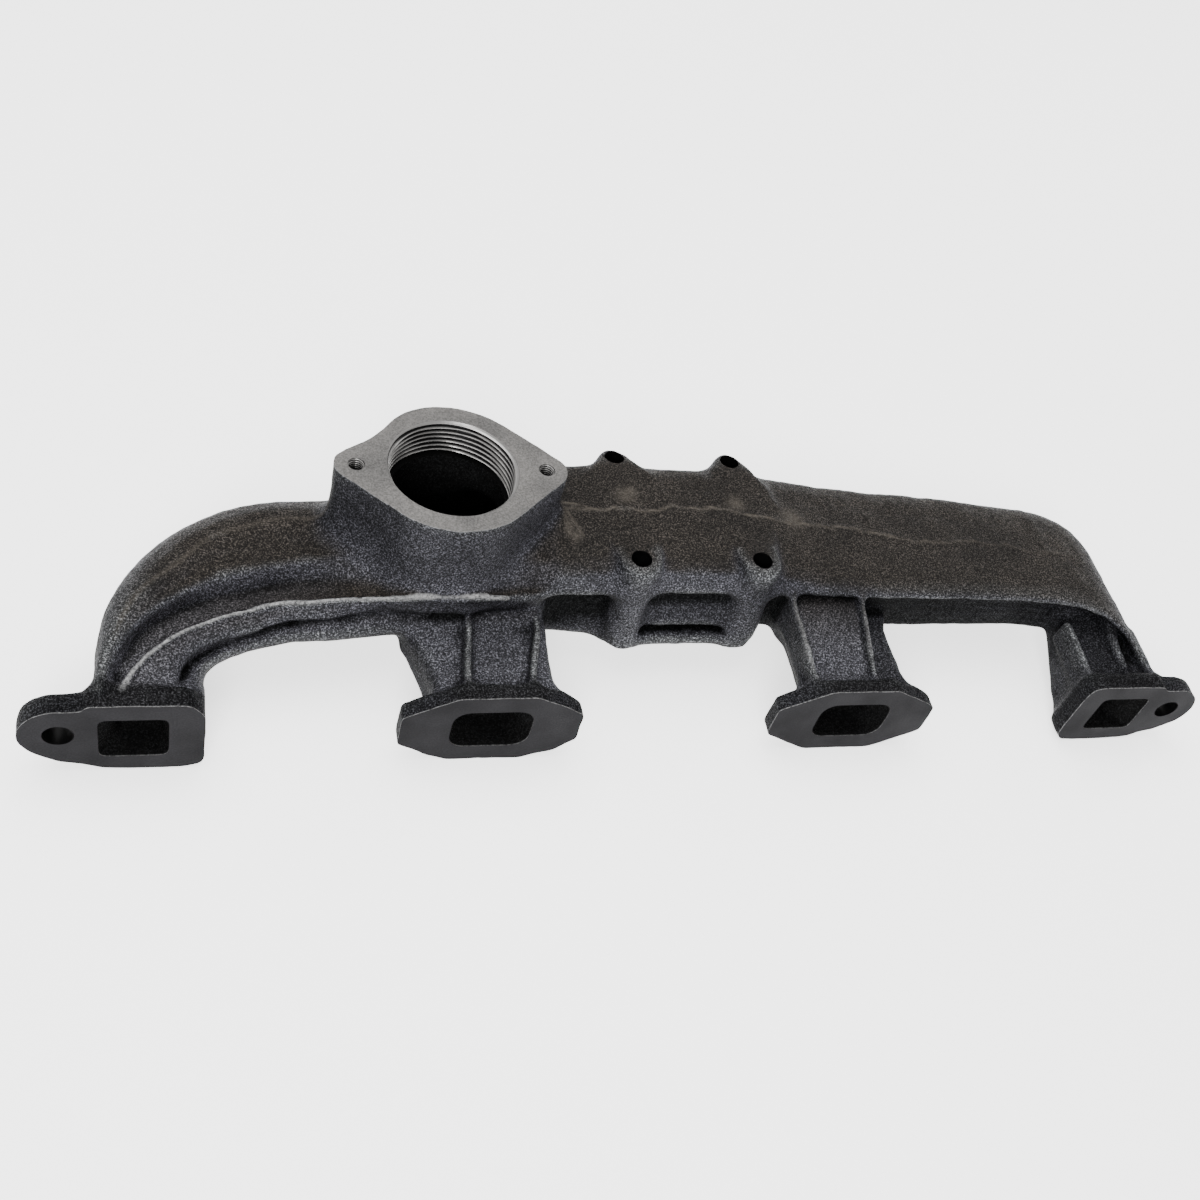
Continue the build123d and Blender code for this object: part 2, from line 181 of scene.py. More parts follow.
def bell(sigma):
    """The reach and the weights of a Gaussian blur."""
    reach = int(math.ceil(3 * sigma))
    weights = np.exp(-0.5 * (np.arange(-reach, reach + 1) / sigma) ** 2)
    return reach, weights / weights.sum()


def blurred(values, sigma):
    """A Gaussian blur of a grid, sigma in cells."""
    reach, weights = bell(sigma)
    weights = weights.astype(np.float32)
    for axis in range(3):
        edge = [(0, 0)] * 3
        edge[axis] = (reach, reach)
        padded = np.pad(values, edge, mode="edge")
        total = np.zeros_like(values)
        for k, weight in enumerate(weights):
            shifted = [slice(None)] * 3
            shifted[axis] = slice(k, k + values.shape[axis])
            total += weight * padded[tuple(shifted)]
        values = total
    return values


def both(a, b):
    """The exact distance to the overlap of two slabs or prisms whose distances are a and b."""
    return np.minimum(np.maximum(a, b), 0) + np.hypot(np.maximum(a, 0), np.maximum(b, 0))


def rounded(a, b, radius):
    """The same overlap, with its edge rounded to a radius."""
    return both(a + radius, b + radius) - radius


def box(x, y, z, low, high, radius):
    parts = []
    for value, a, b in zip((x, y, z), low, high):
        parts.append(np.abs(value - (a + b) / 2) - (b - a) / 2 + radius)
    outside = np.sqrt(sum(np.maximum(p, 0) ** 2 for p in parts))
    inside = np.minimum(np.maximum(np.maximum(parts[0], parts[1]), parts[2]), 0)
    return outside + inside - radius


def polygon(points, u, v):
    """The signed distance to a polygon. Its corners may be numbers or arrays."""
    nearest = None
    inside = np.zeros(np.broadcast(u, v, points[0][0]).shape, bool)
    for (ax, ay), (bx, by) in zip(points, points[1:] + points[:1]):
        ex = bx - ax
        ey = by - ay
        pu = u - ax
        pv = v - ay
        along = np.clip((pu * ex + pv * ey) / np.maximum(ex * ex + ey * ey, 1e-6), 0, 1)
        gap = (pu - ex * along) ** 2 + (pv - ey * along) ** 2
        nearest = gap if nearest is None else np.minimum(nearest, gap)
        inside ^= ((ay > v) != (by > v)) & ((pu * ey < ex * pv) == (ey > 0))
    return np.where(inside, -1, 1) * np.sqrt(nearest)


def slab(value, low, high):
    """The distance to the space between two parallel planes."""
    return np.abs(value - (low + high) / 2) - (high - low) / 2


def rounded_port(x, z, centre, port):
    """A port's outline: a rectangle with rounded corners. port is its width and corner radius."""
    width, radius = port
    u = np.abs(x - centre) - width / 2 + radius
    v = np.abs(z) - PORT_HEIGHT / 2 + radius
    return np.hypot(np.maximum(u, 0), np.maximum(v, 0)) + np.minimum(np.maximum(u, v), 0) - radius


# ---- the log's changing cross-section
# The log's middle line runs straight along x and turns down to the left end port in a quarter bend.
# s is the distance along it and equals x on the straight part. n is the distance from it, away from
# the head. Each feature of the section is a line (s, n, z) with a point only where its run changes.
RIDGE = [
    (-348, 13.5, 23), (-338, 11.5, 24), (-332, 8.8, 24.5), (-324, 3.4, 25.5), (-313, -7.5, 27.5),
    (-291, -26.7, 29), (-262, -40, 31), (-225, -44, 32), (-199, -45, 33), (-183, -43.5, 34),
    (-150, -48, 40.5), (-110, -48.5, 41.5), (-84, -46, 40), (-66, -42.5, 39.5), (13, -42.5, 41.5),
    (76, -42.5, 40.2), (140, -42.5, 37.5), (200, -42.5, 36), (250, -42.5, 34.5),
]
VALLEY = [
    (-348, 15.5, 20), (-333, 15.2, 22), (-326, 13, 24.5), (-313, 7.4, 26.5), (-301, 0, 27.5),
    (-286, -11.5, 28), (-262, -23, 28.5), (-245, -29, 29), (-233, -30.5, 29.5), (-191, -29, 30.5),
    (-162, -32, 33.5), (-150, -42, 38), (-110, -44, 38.5), (-84, -40, 38),
]
SHOULDER = [
    (-348, 21.3, 31), (-340, 20.8, 32), (-327, 16.9, 35), (-317, 10.7, 37), (-304, 0.3, 39.5),
    (-288, -10.7, 41), (-270, -18, 42), (-241, -24.8, 42), (-218, -26.5, 42), (-177, -20, 42.5),
    (-150, -30, 46), (-110, -33, 48), (-84, -30, 49),
]
CROWN = [
    (-348, 24, 32), (-340, 23.4, 33), (-327, 18.5, 38), (-315, 14.8, 41.5), (-300, 8.3, 45),
    (-272, -1, 47.5), (-250, -1, 48.3), (-206, 0, 48.5), (-160, 0, 49.5), (-110, 0, 56), (-50, 0, 62),
    (0, 0, 62), (50, 0, 60.5), (75, 0, 56), (100, 0, 51), (150, 0, 45.5), (200, 0, 41.5), (250, 0, 38),
]
GROOVE = [
    (-348, -14.3, 19), (-333, -14.5, 20), (-322, -16.3, 22.5), (-312, -21.9, 23.5), (-299, -33.3, 24),
    (-281, -45.9, 24.5), (-262, -49.5, 24.5), (-233, -51.5, 25), (-206, -51.5, 25.5), (-187, -50, 25.5),
    (-165, -45, 26), (-150, -44, 27), (-84, -43, 27),
]
NOTCH = [
    (-348, -12, 12), (-333, -12, 12), (-322, -15.5, 9.5), (-312, -21, 9), (-299, -29, 10.5),
    (-283, -38.5, 14), (-262, -43, 17), (-233, -45, 18.5), (-190, -44.5, 20), (-165, -43, 24),
    (-84, -41.5, 25.5),
]
BULGE = [
    (-348, -18, 17), (-333, -18, 18), (-324, -22.6, 18.5), (-314, -32.3, 18.5), (-287, -47.8, 19),
    (-262, -53.5, 19.5), (-241, -57, 20), (-187, -55.5, 20), (-155, -51.5, 20.5), (-120, -51, 20.5),
    (-84, -50, 20),
]
# These lines have one value at each s: how far the section reaches to the back, how square its back
# corner is, and how flat the right half's top is.
BACK_REACH = [
    (-333, 25.5), (-311, 25), (-292, 26.5), (-262, 29), (-206, 33), (-130, 39), (-60, 43), (250, 43),
]
SQUARENESS = [(-170, 1.0), (-60, 0.32), (200, 0.35), (262, 0.6)]
DOMING = [(-60, 0.3), (-40, 0.2), (62, 0.2), (95, 0.4), (150, 0.5), (250, 0.55)]
SAMPLES = np.arange(-360.0, 330.0, 1.0)


def track(points, column, s, smooth=7.0):
    """One coordinate of a feature line at every s, with its corners eased."""
    values = np.interp(SAMPLES, [p[0] for p in points], [p[column] for p in points])
    reach, weights = bell(smooth)
    values = np.convolve(np.pad(values, reach, mode="edge"), weights, "valid")
    return np.interp(s, SAMPLES, values)


def line(points, s, smooth=7.0):
    """n and z of a feature line at every s."""
    return track(points, 1, s, smooth), track(points, 2, s, smooth)


def ridge_line(s):
    return line(RIDGE, s, 4)


def path_coordinates(x, y):
    """s and n of each point in plan, round the quarter bend at the left end."""
    dx = LEFT_BEND_X - x
    dy = y - LEFT_BEND_Y
    angle = np.arctan2(dx, dy)
    in_bend = (dx > 0) & (dy > 0)
    in_leg = (dx > 0) & (dy <= 0)
    s = np.where(in_bend, LEFT_BEND_X - LEFT_BEND_RADIUS * angle, x + 0 * y)
    n = np.where(in_bend, np.hypot(dx, dy) - LEFT_BEND_RADIUS, y - MIDDLE_Y + 0 * x)
    s = np.where(in_leg, LEFT_BEND_X - LEFT_BEND_LENGTH + dy, s)
    n = np.where(in_leg, dx - LEFT_BEND_RADIUS, n)
    return s, n


def log_section(s):
    """The corners (n, z) of the log's section at every s. The front half's come first, from the floor."""
    ridge_n, ridge_z = ridge_line(s)
    crown_n, crown_z = line(CROWN, s)
    valley_n, valley_z = line(VALLEY, s)
    shoulder_n, shoulder_z = line(SHOULDER, s)
    groove_n, groove_z = line(GROOVE, s, 5)
    notch_n, notch_z = line(NOTCH, s, 5)
    bulge_n, bulge_z = line(BULGE, s)
    doming = track(DOMING, 1, s)
    low_end = progress(s, -292, -312)
    floor = -4.5 - 10 * low_end
    left = [
        (bulge_n + 19 + 3 * low_end, floor), (bulge_n + 8 + 5 * low_end, 5 - 12 * low_end),
        (bulge_n + 0.8, bulge_z - 7), (bulge_n, bulge_z), (notch_n, notch_z), (groove_n, groove_z),
        (0.35 * ridge_n + 0.65 * groove_n, 0.5 * ridge_z + 0.5 * groove_z),
        (ridge_n, ridge_z), (valley_n, valley_z), (shoulder_n, shoulder_z),
        (0.6 * shoulder_n + 0.4 * crown_n, 0.8 * shoulder_z + 0.2 * crown_z),
    ]
    front = -42.5

    def domed(fraction):
        return (front * (1 - fraction), ridge_z + (crown_z - ridge_z) * fraction ** doming)

    right = [
        (-25, floor), (-32.5, -2), (-33.5, 8), (-33.5, ridge_z - 12), (-34.5, ridge_z - 6.5),
        (-38.5, ridge_z - 4), (front, ridge_z - 3.2), (front - 1, ridge_z - 1),
        domed(0.07), domed(0.25), domed(0.6),
    ]
    style = progress(s, STYLE_START, STYLE_END)
    corners = []
    for (left_n, left_z), (right_n, right_z) in zip(left, right):
        corners.append((left_n + (right_n - left_n) * style, left_z + (right_z - left_z) * style))
    corners.append((crown_n, crown_z))
    squareness = track(SQUARENESS, 1, s)
    reach = track(BACK_REACH, 1, s)
    middle = 9.0
    for degrees in (75, 58, 45, 32, 15, 0):
        along = math.cos(math.radians(degrees)) ** squareness
        up = math.sin(math.radians(degrees)) ** squareness
        corners.append((crown_n + (reach - crown_n) * along, middle + (crown_z - middle) * up))
    corners.append((reach - 3, -1))
    corners.append((reach - 11, floor))
    return corners


def log_shape(x, y, z):
    s, n = path_coordinates(x, y)
    return polygon(log_section(s), n, z)


# ---- the right elbow
ELBOW_START = 190.0
ELBOW_WALL_X = 306.5
ELBOW_CENTRE = (263.0, 104.0)
ELBOW_REACH = 43.0
LIP_EDGE = [
    (ELBOW_START, 61), (236, 61), (252, 60), (268, 57), (281, 52), (291, 43.5), (298, 34.5), (302, 24),
]
WALL_EDGE = [(ELBOW_START, 70.5), (240, 70.5), (262, 68), (278, 62), (290, 52), (298, 39), (303, 24)]
LIP_HEIGHT = ((20, 33, 44, 52, 58, 70), (21, 26.5, 30.5, 33, 34.4, 35.5))


def right_elbow(x, y, z):
    """A slab with a round back corner, whose front lip curls round on to the end runner."""
    centre_x, centre_y = ELBOW_CENTRE
    closing = [(ELBOW_WALL_X - 1, 20)]
    for degrees in range(0, 91, 15):
        turn = math.radians(degrees)
        back_x = centre_x + (ELBOW_WALL_X - centre_x) * math.cos(turn)
        closing.append((back_x, centre_y + ELBOW_REACH * math.sin(turn)))
    closing.append((ELBOW_START, centre_y + ELBOW_REACH))
    plan = polygon(LIP_EDGE + closing, x, y)
    recess = polygon(WALL_EDGE + closing, x, y)
    front_z = np.interp(y, *LIP_HEIGHT)
    crest = track(CROWN, 2, np.minimum(x, 250 + 0 * y)) - 0.10 * np.clip(x - 250, 0, 60)
    inward = np.clip(-plan / 42, 0, 1)
    domed = front_z + np.maximum(crest - front_z, 0) * inward ** 0.55
    outward = np.hypot(np.maximum(x - centre_x, 0), np.maximum(y - centre_y, 0)) / ELBOW_REACH
    rounded = 9 + (crest - 9) * (1 - np.clip(outward, 0, 1) ** 3.3) ** 0.3
    top = np.minimum(domed, rounded)
    lip_top = np.minimum(front_z, top)
    upper = both(plan, slab(z, lip_top - 4, top))
    bottom = -4.5 + 3.5 * progress(recess, -8, 0)
    lower = both(recess, slab(z, bottom, lip_top - 2))
    return joined(upper, lower, 2.5)


# ---- runners
RUNNER_ROUNDING = 7.0
LEFT_RUNNER_X = (-302.5, -250.5)
LEFT_RUNNER_ROUNDING = 5.0


def right_runner(x, y, z):
    """The right end runner. Its outer wall swells out to the flange's ear."""
    inner_x = 259.5 + 6 * progress(y, 30, 65) - 4 * progress(y, 24, 10)
    outer_x = 304.0 + 6 * progress(y, 38, 12) ** 1.5
    outline = [
        (-20, -24), (22, -24), (72, -6), (110, -3), (110, 24), (66, 18), (52, 15.5), (30, 15), (-20, 19),
    ]
    return rounded(slab(x, inner_x, outer_x), polygon(outline, y, z), RUNNER_ROUNDING)


def left_runner(x, y, z):
    """The left end runner, which is lower than the arm's own section away from the flange."""
    outline = [(-20, -24), (38, -24), (66, -6), (66, 6), (30, 8), (18, 18), (-20, 22)]
    return rounded(slab(x, *LEFT_RUNNER_X), polygon(outline, y, z), LEFT_RUNNER_ROUNDING)


# Each centre runner's side, how far it reaches left and right of its port at the flange and at the
# log, the lean of its sides, the climb of its roof, and the ends of the panel that climbs.
CENTRE_RUNNERS = [
    (-1, (29, 43), (35, 37), 0.0, 1.5, (-170, -50)),
    (1, (26, 26), (31, 31), 0.45, 16.5, (76, 121)),
]
# Each rib's x at the flange and at the log, then its top's z at both, and its y at both.
RIGHT_END_RIBS = [
    ((261, 262.5), (22, 23.5), (8, 56)),
    ((291, 288), (19, 28), (20, 60)),
    ((306, 304.5), (21, 24), (8, 50)),
]
CENTRE_LEFT_RIBS = [((-120.5, -114.5), (24.5, 25.5), (8, 50)), ((-86.5, -76.5), (24.5, 25.5), (8, 50))]
CENTRE_RIGHT_RIBS = [((78.5, 73), (25, 40.5), (8, 64)), ((117.5, 118), (20, 39), (8, 64))]


def centre_runner(x, y, z, side, left_reach, right_reach, lean, climb, panel):
    """A tube with leaning sides. Between its two ribs the roof climbs towards the log."""
    middle = side * CENTRE_PORT_X
    away = progress(y, 12, 56) ** 1.6
    spread = 6 * progress(y, 26, 12) ** 2 + 9 * lean * progress(y, 50, 64) ** 2
    spread = spread + lean * np.clip(z, -15, 12)
    left, right = (a + (b - a) * away + spread for a, b in (left_reach, right_reach))
    floor = -21.5 + 14 * progress(y, 14, 54)
    on_panel = progress(x, panel[0], panel[0] + 4) * progress(x, panel[1], panel[1] - 4)
    roof = 15.5 + (1 + climb * np.clip((y - 20) / 46, 0, 1.2)) * on_panel
    return rounded(slab(x, middle - left, middle + right), slab(z, floor, roof), RUNNER_ROUNDING)


def rib(x, y, z, x_ends, z_ends, y_ends, width, foot):
    """A rib that runs up the runner's roof from the flange to the log. It stands on its foot's z."""
    along = progress(y, *y_ends)
    middle = x_ends[0] + (x_ends[1] - x_ends[0]) * along
    top = z_ends[0] + (z_ends[1] - z_ends[0]) * along
    radius = width / 2
    reach = np.maximum(z - (top - radius), 0) + np.maximum(foot - z, 0)
    return np.hypot(x - middle, reach) - radius


def add_ribs(field, ribs, width, foot, margin, y_reach, z_reach, blend):
    """Joins ribs on, each inside a box with a margin in x."""
    for x_ends, z_ends, y_ends in ribs:
        y_low, y_high = y_reach or y_ends
        low = (min(x_ends) - margin, y_low, z_reach[0])
        high = (max(x_ends) + margin, y_high, z_reach[1])
        add(field, low, high, blend, rib, x_ends, z_ends, y_ends, width, foot)


# ---- flanges
def centre_flange(x, y, z, side):
    half_flat = 20.6
    tip = 11.3
    middle = side * CENTRE_PORT_X
    octagon = []
    for right, up in ((1, 1), (-1, 1), (-1, -1), (1, -1)):
        pair = [
            (middle + right * CENTRE_HALF_LENGTH, up * tip),
            (middle + right * half_flat, up * CENTRE_HALF_HEIGHT),
        ]
        octagon += pair if right == up else pair[::-1]
    return both(polygon(octagon, x, z), slab(y, -12, CENTRE_FLANGE_BACK))


def end_flange(x, y, z, side):
    step_x = 306.7
    ear_top = STUD_Z + EAR_RADIUS
    outline = [
        (STUD_X, ear_top), (step_x, ear_top), (step_x, END_TOP), (END_INNER_X + 6, END_TOP),
        (END_INNER_X + 1.5, END_TOP - 2), (END_INNER_X, END_TOP - 7), (END_INNER_X, END_BOTTOM + 5),
        (END_INNER_X + 4, END_BOTTOM + 0.8), (END_INNER_X + 14, END_BOTTOM), (278, END_BOTTOM),
        (292, END_BOTTOM + 1.2), (303.6, END_BOTTOM + 3), (320, END_BOTTOM + 7.5),
        (STUD_X + 12, STUD_Z - EAR_RADIUS + 4.2),
    ]
    plate = polygon(outline, side * x, z)
    ear = np.hypot(side * x - STUD_X, z - STUD_Z) - EAR_RADIUS
    return both(np.minimum(plate, ear), slab(y, -12, END_FLANGE_BACK))


def outlet_outline(x, y, grow):
    """The outlet flange's outline: a barrel drawn out into two bolt tips."""
    u = np.abs(x - OUTLET_X)
    v = np.abs(y - OUTLET_Y)
    tip_x = OUTLET_HALF_LENGTH - OUTLET_TIP
    lean = math.asin((OUTLET_BARREL - OUTLET_TIP) / tip_x)
    side = u * math.sin(lean) + v * math.cos(lean) - OUTLET_BARREL
    barrel = np.hypot(u, v) - OUTLET_BARREL
    tip = np.hypot(u - tip_x, v) - OUTLET_TIP
    along = u * math.cos(lean) - v * math.sin(lean)
    between = (along > 0) & (along < tip_x * math.cos(lean))
    waist = 3.2 * np.exp(-((u - 40) / 12) ** 2) * progress(y, OUTLET_Y, OUTLET_Y + 10) * (x < OUTLET_X)
    return np.where(between, side, np.minimum(barrel, tip)) + waist - grow


def outlet_neck(x, y, z):
    """The flange's outline carried down to the log, spreading mostly towards its two ends."""
    spread = progress(np.abs(x - OUTLET_X), 25, 50)
    forward = (4 - 2 * spread) * (y < OUTLET_Y)
    grow = (10 * spread + forward) * progress(z, 66, 32) ** 2
    return np.maximum(outlet_outline(x, y, grow), slab(z, 30, OUTLET_FACE + 12))


# ---- bolting section
def front_column(x, y, z, centre_x):
    down = progress(z, PAD_TOP, PAD_TOP - 20)
    low = progress(z, 40, -2)
    radius = 11.8 + 0.5 * down - 2.6 * low
    middle_y = PAD_FRONT_Y + 0.5 * down - 6.0 * low
    body = np.hypot(x - centre_x, y - middle_y) - radius
    tail = np.maximum(np.abs(x - centre_x) - radius, slab(y, middle_y, middle_y + 26))
    top = PAD_TOP - 6 * progress(y, 76, 92)
    return np.maximum(np.minimum(body, tail), slab(z, PAD_BOTTOM + 1.5, top))


def bolting_wall(x, y, z):
    """The wall between the two front columns, which comes forward towards its foot."""
    profile = polygon([(84, 36), (70, 34), (61, 15), (61, 9), (84, 9)], y, z)
    return np.maximum(profile, slab(x, PAD_X[0] - 8, PAD_X[1] + 8))


def left_wall(x, y, z):
    """The wall to the left of the columns, which slopes forward to its foot."""
    foot = 67.5 - 4.5 * progress(x, -64, -36)
    outline = [(84, 30), (71, 27), (foot + 1, 8), (foot, 1), (foot + 2.5, -2), (84, -4)]
    return np.maximum(polygon(outline, y + 0 * x, z), slab(x, -80, PAD_X[0] - 4))


def rear_column(x, y, z, centre_x):
    radius = 8.5
    half = 2 * radius - radius * progress(y, 128, PAD_REAR_Y) ** 0.7
    body = np.maximum(np.abs(x - centre_x) - half, slab(y, 112, PAD_REAR_Y))
    nose = np.hypot(x - centre_x, y - PAD_REAR_Y) - radius
    ramp = PAD_TOP - 8 * progress(y, 138, 112)
    return np.maximum(np.minimum(body, nose), slab(z, 0, ramp))


# ---- build the field
def build_outside():
    field = np.full(SHAPE, FAR, np.float32)
    add(field, (-322, 5, -30), (262, BACK, 80), 0, log_shape)
    add(field, (236, 5, -20), (325, BACK, 66), 0, right_elbow)
    add(field, (235, FRONT, BELOW), (325, 120, 40), 3.5, right_runner)
    add_ribs(field, RIGHT_END_RIBS, 6.5, 0, 9, None, (4, 40), 3.0)
    add(field, (-325, FRONT, BELOW), (-232, 100, 34), 5, left_runner)
    for runner, low_x, high_x in zip(CENTRE_RUNNERS, (-185, 45), (-45, 190)):
        add(field, (low_x, FRONT, BELOW), (high_x, 96, 32), 4, centre_runner, *runner)
    add_ribs(field, CENTRE_LEFT_RIBS, 4.5, 12, 12, (5, 62), (6, 40), 2.5)
    add_ribs(field, CENTRE_RIGHT_RIBS, 4.0, 14, 12, (5, 70), (6, 50), 3.0)
    for side in (-1, 1):
        middle = side * CENTRE_PORT_X
        add(field, (middle - 62, FRONT, BELOW), (middle + 62, 26, 40), 5, centre_flange, side)
        low_x, high_x = sorted((side * (END_INNER_X - 14), side * FIELD_HIGH[0]))
        add(field, (low_x, FRONT, BELOW), (high_x, 28, 40), 5, end_flange, side)
    add(field, (-205, 40, 14), (-48, BACK, ABOVE), 9, outlet_neck)
    add(field, (-45, 50, -12), (72, 88, 52), 3, bolting_wall)
    foot = ((PAD_X[0], 56, -1.4), (PAD_X[1], 84, 6.5), 2)
    add(field, (-75, 44, -12), (80, 96, 20), 3, box, *foot)
    add(field, (-92, 40, -12), (-20, 96, 40), 5, left_wall)
    for x in PAD_X:
        add(field, (x - 34, 40, -14), (x + 34, 100, PAD_TOP + 12), 7, front_column, x)
        add(field, (x - 34, 110, -14), (x + 34, BACK, PAD_TOP + 12), 11, rear_column, x)
    pad = ((PAD_X[0] - 12, 60, PAD_BOTTOM), (PAD_X[1] + 12, 146, 8), 1)
    add(field, (-55, 40, -16), (80, BACK, 20), 2, box, *pad)
    return field


def passage(x, y, z, centre, port, length, shift, opening):
    """A port's passage, which narrows and climbs behind the flange."""
    away = progress(y, 3, 15)
    narrowed = (port[0] - 11 * away, port[1])
    climbed = z - 17 * progress(y, 20, 60)
    tunnel = rounded_port(x - shift * away, climbed, centre, narrowed)
    lowered = 6.5 * away - opening / 2 * progress(y, 46, 60)
    body = np.maximum(tunnel, z - PORT_HEIGHT / 2 + lowered)
    return both(body, slab(y, -20, length))


def upright_round(x, y, z, centre_x, centre_y, radius, low, high):
    return both(np.hypot(x - centre_x, y - centre_y) - radius, slab(z, low, high))


def shrunk(x, y, z, shape):
    """What is left of a shape inside its wall."""
    return shape(x, y, z) + WALL


def build_cavity():
    """The gas passage, as a distance that is negative inside it."""
    cavity = np.full(SHAPE, FAR, np.float32)
    add(cavity, (-322, 8, -30), (262, BACK, 80), 0, shrunk, log_shape)
    add(cavity, (222, 5, -20), (325, BACK, 66), 6, shrunk, right_elbow)
    for side in (-1, 1):
        for details in (
            (side * CENTRE_PORT_X, CENTRE_PORT, 90, 1.0, 15.0),
            (side * END_PORT_X, END_PORT, 62, -3.0 * side, 0.0),
        ):
            centre, length = details[0], details[2]
            high = (centre + 40, length + 14, 40)
            add(cavity, (centre - 40, FRONT, BELOW), high, 4, passage, *details)
    bore = (OUTLET_X, OUTLET_Y, BORE_RADIUS, 20, 110)
    add(cavity, (OUTLET_X - 45, 60, 8), (OUTLET_X + 45, 150, ABOVE), 4, upright_round, *bore)
    for x in PAD_X:
        for y in (PAD_FRONT_Y, PAD_REAR_Y):
            column = (x, y, 12.5, 10 * BELOW, 10 * ABOVE)
            cut(cavity, (x - 26, y - 26, BELOW), (x + 26, y + 26, ABOVE), 3, upright_round, *column)
    return cavity


SCRATCHES = [((-60, 104), (-59.5, 87)), ((-58, 101), (-52, 86)), ((-60, 104), (-44, 103))]
SCUFFS = [(-23, 114, 6), (-19, 117, 4), (44, 111, 5), (80, 106, 7), (-60, 92, 4), (-56, 86, 3)]


def parting_line(x):
    """The y of the mould's parting line over the crown of the right half."""
    steps = 1.7 * np.tanh(3 * np.sin(x / 15.0)) + 0.7 * np.tanh(3 * np.sin(x / 4.6 + 1.0))
    return 103.5 + steps + 0.4 * np.sin(x / 1.9) - 0.02 * np.clip(x, 0, 300)


def rough(field):
    """The sand's grain, slow waves in the skin, and the raised step along the parting line."""
    draw = np.random.default_rng(5)
    grain = blurred(draw.standard_normal(SHAPE).astype(np.float32), 1.1)
    waves = blurred(draw.standard_normal(SHAPE).astype(np.float32), 4.0)
    field -= 0.10 * grain / grain.std() + 0.14 * waves / waves.std()
    part, x, y, z = window((-62, 88, 30), (300, 120, 70))
    offset = y - parting_line(x)
    step = 0.5 * np.exp(-((offset - 1.2) / 1.3) ** 2) + 0.3 / (1 + np.exp(-2 * offset))
    field[part] -= progress(x, 300, 260) * step


def flash_fin(x, y, z):
    """The thin fin that the mould left along the ridge of the left half."""
    s, n = path_coordinates(x, y)
    ridge_n, ridge_z = ridge_line(s)
    gap = np.hypot(n - ridge_n + 0.6, z - ridge_z - 0.3)
    size = progress(s, -343, -335) * progress(s, -84, -96)
    return gap - 1.6 * size + 3 * (1 - size)


def build_field():
    """The rough casting, the amount of iron round each point at three scales, and the passage."""
    outside = blurred(build_outside(), 1.0)
    add(outside, (-325, 2, 10), (-70, 90, 46), 1.2, flash_fin)
    slot_x = sum(PAD_X) / 2
    slot = ((slot_x - 26, 40, 5.8), (slot_x + 26, 73, 11), 2.5)
    cut(outside, (-30, 40, 0), (60, 90, 28), 1.5, box, *slot)
    cavity = blurred(build_cavity(), 1.0)
    iron = np.clip(0.5 - outside / CELL, 0, 1).astype(np.float32)
    bulk = [blurred(iron, scale) for scale in (1.6, 2.5, 5.5)]
    rough(outside)
    return np.maximum(outside, -cavity), bulk, cavity


# ---- mesh making
CAST, MILLED, BORED = range(3)


def placed(name, data):
    item = bpy.data.objects.new(name, data)
    bpy.context.scene.collection.objects.link(item)
    return item


def open_slots(mesh):
    """Fills a mesh up to its three material slots."""
    while len(mesh.materials) <= BORED:
        mesh.materials.append(None)


def mesh_object(name, points, faces, finish=CAST):
    mesh = bpy.data.meshes.new(name)
    mesh.from_pydata([tuple(p) for p in points], [], [tuple(f) for f in faces])
    mesh.validate()
    open_slots(mesh)
    mesh.polygons.foreach_set("material_index", [finish] * len(mesh.polygons))
    return placed(name, mesh)


def to_frame(points):
    """Millimetres above the ports' centres to metres in the frame."""
    moved = np.array(points, np.float64)
    moved[:, 2] += PORT_Z
    return moved * MM


def skin(field):
    """The closed mesh of the whole casting, where the distance is zero."""
    band = 3.0
    grid = openvdb.FloatGrid(band)
    grid.copyFromArray(np.clip(field, -band, band))
    points, quads = grid.convertToQuads(0.0)
    piece = mesh_object("skin", to_frame(points * CELL + np.array(FIELD_LOW)), quads)
    work = bmesh.new()
    work.from_mesh(piece.data)
    remove_islands(work, 2000)
    bmesh.ops.recalc_face_normals(work, faces=work.faces)
    work.to_mesh(piece.data)
    work.free()
    return piece


def remove_islands(work, smallest):
    """Removes bubbles in the walls: islands with fewer corners than the smallest allowed."""
    seen = set()
    doomed = []
    for start in work.verts:
        if start in seen:
            continue
        island = {start}
        queue = [start]
        while queue:
            corner_edges = queue.pop().link_edges
            fresh = {vert for edge in corner_edges for vert in edge.verts} - island
            island |= fresh
            queue += fresh
        seen |= island
        if len(island) < smallest:
            doomed += list(island)
    bmesh.ops.delete(work, geom=doomed, context="VERTS")


def stack(name, points, around, finish):
    """A closed block from rings of points, the lowest first, with flat ends."""
    last = len(points) - around
    faces = [tuple(range(around))[::-1], tuple(range(last, len(points)))]
    for first in range(0, last, around):
        for k in range(around):
            after = (k + 1) % around
            faces.append((first + k, first + after, first + around + after, first + around + k))
    return mesh_object(name, to_frame(points), faces, finish)


def prism(name, outline, low, high, finish):
    """A closed block with a plan outline between two heights."""
    return stack(name, [(x, y, z) for z in (low, high) for x, y in outline], len(outline), finish)


def brick(name, low, high, finish=CAST):
    outline = [(low[0], low[1]), (high[0], low[1]), (high[0], high[1]), (low[0], high[1])]
    return prism(name, outline, low[2], high[2], finish)


def ring(centre_x, centre_y, radius, count):
    """The corners of a regular polygon that stands for a circle."""
    turns = [2 * math.pi * k / count for k in range(count)]
    return [(centre_x + radius * math.cos(t), centre_y + radius * math.sin(t)) for t in turns]


